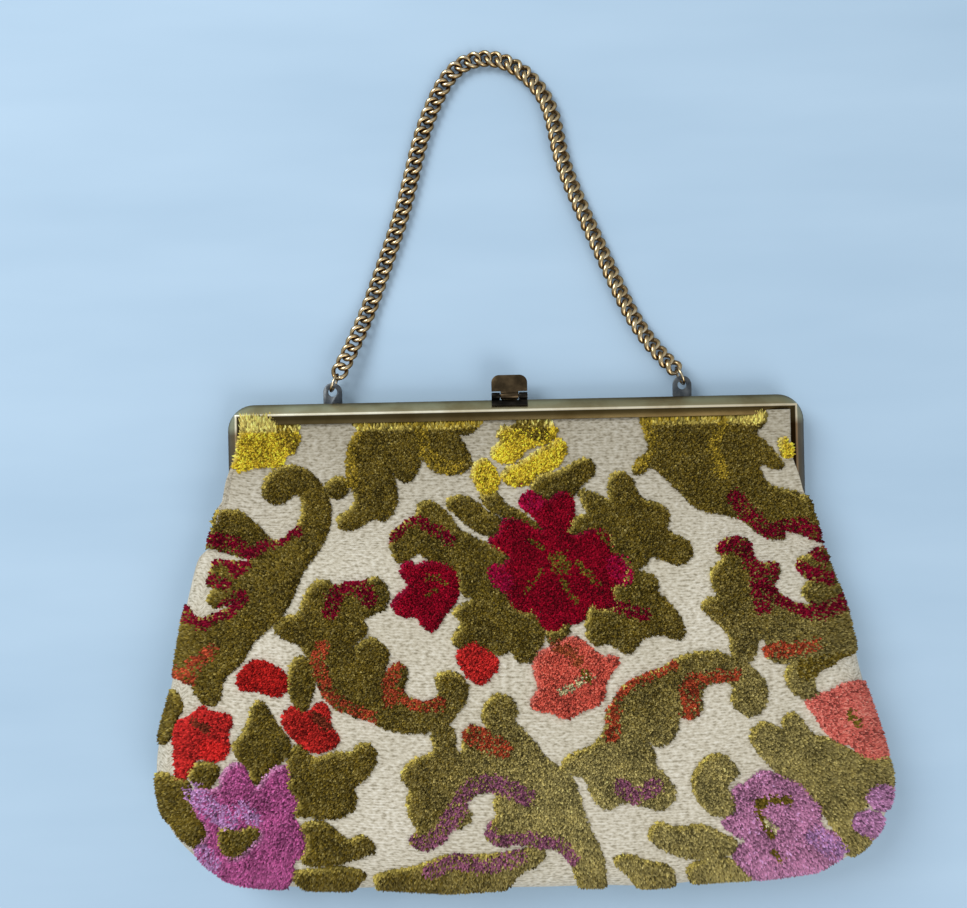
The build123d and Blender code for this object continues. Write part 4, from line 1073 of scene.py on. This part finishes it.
def channel_section():
    """Outline of the folded channel: inset from the frame's edge and height over the meeting plane."""
    outer = [
        (FLANGE_WIDTH, MEETING_GAP / 2), (0.0, MEETING_GAP / 2), (0.0, WALL_HEIGHT),
        (CREST_INSET, CREST_HEIGHT), (LIP_INSET, LIP_HEIGHT),
    ]
    inner = []
    for index, point in enumerate(outer):
        normals = []
        for first in (index - 1, index):
            if 0 <= first < len(outer) - 1:
                run = Vector(outer[first + 1]) - Vector(outer[first])
                normals.append(Vector((run.y, -run.x)).normalized())
        mitre = (normals[0] + normals[-1]) * (FRAME_SHEET / (1 + normals[0].dot(normals[-1])))
        inner.append(tuple(Vector(point) + mitre))
    return outer, inner


def square_corners(bm, fold, corner_x, corner_y):
    """Makes the channel's corners square from its outer slope inwards."""
    for vert in bm.verts:
        out = Vector((abs(vert.co.x) - corner_x, vert.co.y - corner_y))
        if min(out) > 0:
            square = out * (out.length / max(out))
            out = out.lerp(square, eased(vert[fold], *SQUARE_CORNER_SHARES))
            vert.co.x, vert.co.y = math.copysign(corner_x + out.x, vert.co.x), corner_y + out.y


def add_ears(bm, side, ear_inset):
    """A round ear and its strap at the end of each arm, for the hinge rivets."""
    strap_z = MEETING_HEIGHT + side * (EAR_DEPTH + MEETING_GAP / 2) / 2
    for hand in (-1, 1):
        x = hand * (HALF_FRAME - ear_inset - EAR_SHEET / 2)
        turn = Matrix.Translation((x, HINGE_Y, MEETING_HEIGHT)) @ Matrix.Rotation(math.pi / 2, 4, "Y")
        bmesh.ops.create_cone(
            bm, cap_ends=True, segments=EAR_SIDES, radius1=EAR_RADIUS, radius2=EAR_RADIUS,
            depth=EAR_SHEET, matrix=turn,
        )
        size = Matrix.Diagonal((EAR_SHEET, EAR_OVERLAP, EAR_DEPTH - MEETING_GAP / 2, 1))
        place = Matrix.Translation((x, HINGE_Y + EAR_OVERLAP / 2, strap_z))
        bmesh.ops.create_cube(bm, size=1.0, matrix=place @ size)


def channel_mesh(name, side, ear_inset):
    """One half of the frame: the section drawn up the left arm, round both corners and down the right."""
    outer, inner = channel_section()
    bm = bmesh.new()
    fold = bm.verts.layers.float.new("fold")
    arm_end = HINGE_Y + ARM_SETBACK
    verts = []
    for line in (outer, list(reversed(inner))):
        for inset, height in line:
            vert = bm.verts.new((-HALF_FRAME + inset, arm_end, MEETING_HEIGHT + side * height))
            verts.append(vert)
    for vert, share in zip(verts, FOLD_SHARES + FOLD_SHARES[::-1]):
        vert[fold] = share
    bm.faces.new(verts)
    bmesh.ops.bevel(
        bm, geom=verts, offset=FRAME_ROUNDING, offset_type="OFFSET", segments=ROUNDING_STEPS,
        profile=0.5, affect="VERTICES", material=-1,
    )

    def only(kind, items):
        return [item for item in items if isinstance(item, kind)]

    def drawn(end, move):
        made = bmesh.ops.extrude_face_region(bm, geom=end)["geom"]
        bmesh.ops.translate(bm, verts=only(bmesh.types.BMVert, made), vec=move)
        return only(bmesh.types.BMFace, made)

    def turned(end, centre):
        made = bmesh.ops.spin(
            bm, geom=end, cent=centre, axis=(0, 0, 1), dvec=(0, 0, 0), angle=-math.pi / 2,
            steps=CORNER_STEPS, use_merge=False, use_normal_flip=False, use_duplicate=False,
        )["geom_last"]
        return only(bmesh.types.BMFace, made)

    corner_x, corner_y = HALF_FRAME - FRAME_CORNER, TOP_Y - FRAME_CORNER
    end = drawn(list(bm.faces), (0, corner_y - arm_end, 0))
    end = turned(end, (-corner_x, corner_y, 0))
    end = drawn(end, (2 * corner_x, 0, 0))
    end = turned(end, (corner_x, corner_y, 0))
    drawn(end, (0, arm_end - corner_y, 0))
    square_corners(bm, fold, corner_x, corner_y)
    add_ears(bm, side, ear_inset)
    bmesh.ops.recalc_face_normals(bm, faces=bm.faces)
    return finished_mesh(bm, name)


def make_frame(gold):
    halves = (
        ("front_channel", 1, EAR_INSET, "front_frame", "front_half"),
        ("rear_channel", -1, EAR_INSET + EAR_SHEET + EAR_GAP, "rear_frame", "bag"),
    )
    for name, side, ear_inset, node, body in halves:
        mesh = channel_mesh(name, side, ear_inset)
        sharpen(mesh)
        stand_in(add_piece(name, mesh, gold, smooth=False), node, body)


# Clasp, rivets and lugs


def rounded_mesh(node, width):
    """A copy of a metal part with its sharp edges rounded."""
    bm = bmesh.new()
    bm.from_mesh(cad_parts[node].data)
    bmesh.ops.remove_doubles(bm, verts=bm.verts, dist=MERGE_DISTANCE)
    bmesh.ops.dissolve_limit(bm, angle_limit=FLAT_ANGLE, verts=bm.verts, edges=bm.edges)
    sharp = [edge for edge in bm.edges if edge.is_manifold and edge.calc_face_angle() > EDGE_ANGLE]
    bmesh.ops.bevel(
        bm, geom=sharp, offset=width, offset_type="OFFSET", segments=EDGE_STEPS, profile=0.5,
        affect="EDGES", clamp_overlap=True, material=-1,
    )
    return finished_mesh(bm, node)


def shorten_plate(mesh):
    """Slides the plate's inner end up the outer slope of the frame."""
    slope = (CREST_HEIGHT - WALL_HEIGHT) / CREST_INSET
    low = min(vert.co.y for vert in mesh.vertices)
    for vert in mesh.vertices:
        if vert.co.y < low + PLATE_TRIM / 2:
            vert.co += Vector((0, PLATE_TRIM, -PLATE_TRIM * slope))


def make_fittings(gold):
    """The small metal parts: node, finish, slot, body and rounding in mm."""
    # The clasp plate and pin are near black all over
    black = plain_metal_finish("near_black_plate", from_screen(26, 25, 22), from_screen(52, 48, 42), 0.45)
    brown = plain_metal_finish("dark_gold", from_screen(66, 55, 40), from_screen(98, 82, 60), 0.36)
    steel = plain_metal_finish("dull_steel", from_screen(70, 76, 82), from_screen(116, 120, 122), 0.4)
    parts = (
        ("clasp_plate", black, "dark_metal", "front_half", 0.15),
        ("clasp_pin", black, "dark_metal", "front_half", 0.1),
        ("clasp_lever", brown, "dark_gold", "clasp", 0.22),
        ("clasp_keeper", gold, "antique_gold", "bag", 0.1),
        ("hinge_rivets", gold, "antique_gold", "bag", 0.15),
        ("left_lug", steel, "lug_steel", "bag", 0.12),
        ("right_lug", steel, "lug_steel", "bag", 0.12),
    )
    for node, material, slot_name, body, rounding in parts:
        mesh = rounded_mesh(node, rounding * MM)
        if node == "clasp_plate":
            shorten_plate(mesh)
        sharpen(mesh)
        piece = add_piece("rounded_" + node, mesh, material, smooth=False)
        stand_in(piece, node, body)


# Chain


def chain_finish():
    """Gold plate, with a painted highlight where the links face up and dark brown painted shade where they
    face sideways or down.
    """
    finish = Finish("chain_gold", Metallic=1.0)
    patches = finish.noise(finish.place(), 260.0, 4.0, 0.6)
    rubbed = finish.node("ShaderNodeAttribute", {"attribute_name": "rubbed"}, output=2)
    # Dark brown painted shade at the low end, a pale painted highlight at the high end
    tones = [
        (0.1, from_screen(64, 42, 18)), (0.5, from_screen(134, 102, 60)), (0.72, from_screen(206, 182, 136)),
        (0.95, from_screen(255, 244, 220)),
    ]
    finish.feed("Base Color", finish.ramp(rubbed + 0.4 * (patches - 0.5), tones))
    finish.feed("Roughness", 0.38 - 0.16 * rubbed)
    return finish.material


def loose_links(bm):
    """The links of the chain, each a list of its vertices."""
    links, seen = [], set()
    for first in bm.verts:
        if first in seen:
            continue
        link, edge = [], [first]
        seen.add(first)
        while edge:
            vert = edge.pop()
            link.append(vert)
            for other in (side.other_vert(vert) for side in vert.link_edges):
                if other not in seen:
                    seen.add(other)
                    edge.append(other)
        links.append(link)
    return links


def widen_links(bm):
    """Spreads each link to the same width across the chain, as seen from above."""
    links = loose_links(bm)
    middles = np.array([np.mean([vert.co[:2] for vert in link], axis=0) for link in links])
    for link, middle in zip(links, middles):
        first, second = middles[np.argsort(np.linalg.norm(middles - middle, axis=1))[1:3]]
        run = second - first
        across = Vector((-run[1], run[0], 0)).normalized()
        centre = Vector((*middle, 0))
        reaches = [(vert.co - centre).dot(across) for vert in link]
        spread = LINK_WIDTH / (max(reaches) - min(reaches))
        for vert, reach in zip(link, reaches):
            vert.co += across * reach * (spread - 1)


def paint_link_highlights(bm):
    """Marks how far the metal faces up out of the chain, as a share, for the painted highlight."""
    rubbed = bm.verts.layers.float.new("rubbed")
    for vert in bm.verts:
        vert[rubbed] = TOP_HIGHLIGHT_SHARES[0] + TOP_HIGHLIGHT_SHARES[1] * max(0.0, vert.normal.z) ** 2


def swell_links(bm):
    """Makes the links of four-sided faces, and thicker all round."""
    bmesh.ops.join_triangles(
        bm, faces=bm.faces, angle_face_threshold=LINK_JOIN_ANGLE, angle_shape_threshold=math.pi,
        cmp_seam=False, cmp_sharp=False, cmp_uvs=False, cmp_vcols=False, cmp_materials=False,
    )
    bm.normal_update()
    for vert in bm.verts:
        vert.co += vert.normal * LINK_SWELL


def make_chain():
    material = chain_finish()
    for node, name in (("chain_links", "curb_links"), ("chain_rings", "end_rings")):
        bm = bmesh.new()
        bm.from_mesh(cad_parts[node].data)
        bmesh.ops.remove_doubles(bm, verts=bm.verts, dist=MERGE_DISTANCE)
        if node == "chain_links":
            swell_links(bm)
            widen_links(bm)
        bm.normal_update()
        paint_link_highlights(bm)
        piece = add_piece(name, finished_mesh(bm, name), material)
        if node == "chain_links":
            round_off = piece.modifiers.new("round", "SUBSURF")
            round_off.levels = 1
            round_off.render_levels = 1
        stand_in(piece, node, "handle")


# The making, camera first
make_camera()
bpy.context.scene.view_settings.view_transform = "Standard"
make_stage()
make_lights()
sheets = make_cloth()
make_pile()
gold = gold_finish()
make_frame(gold)
make_fittings(gold)
make_chain()
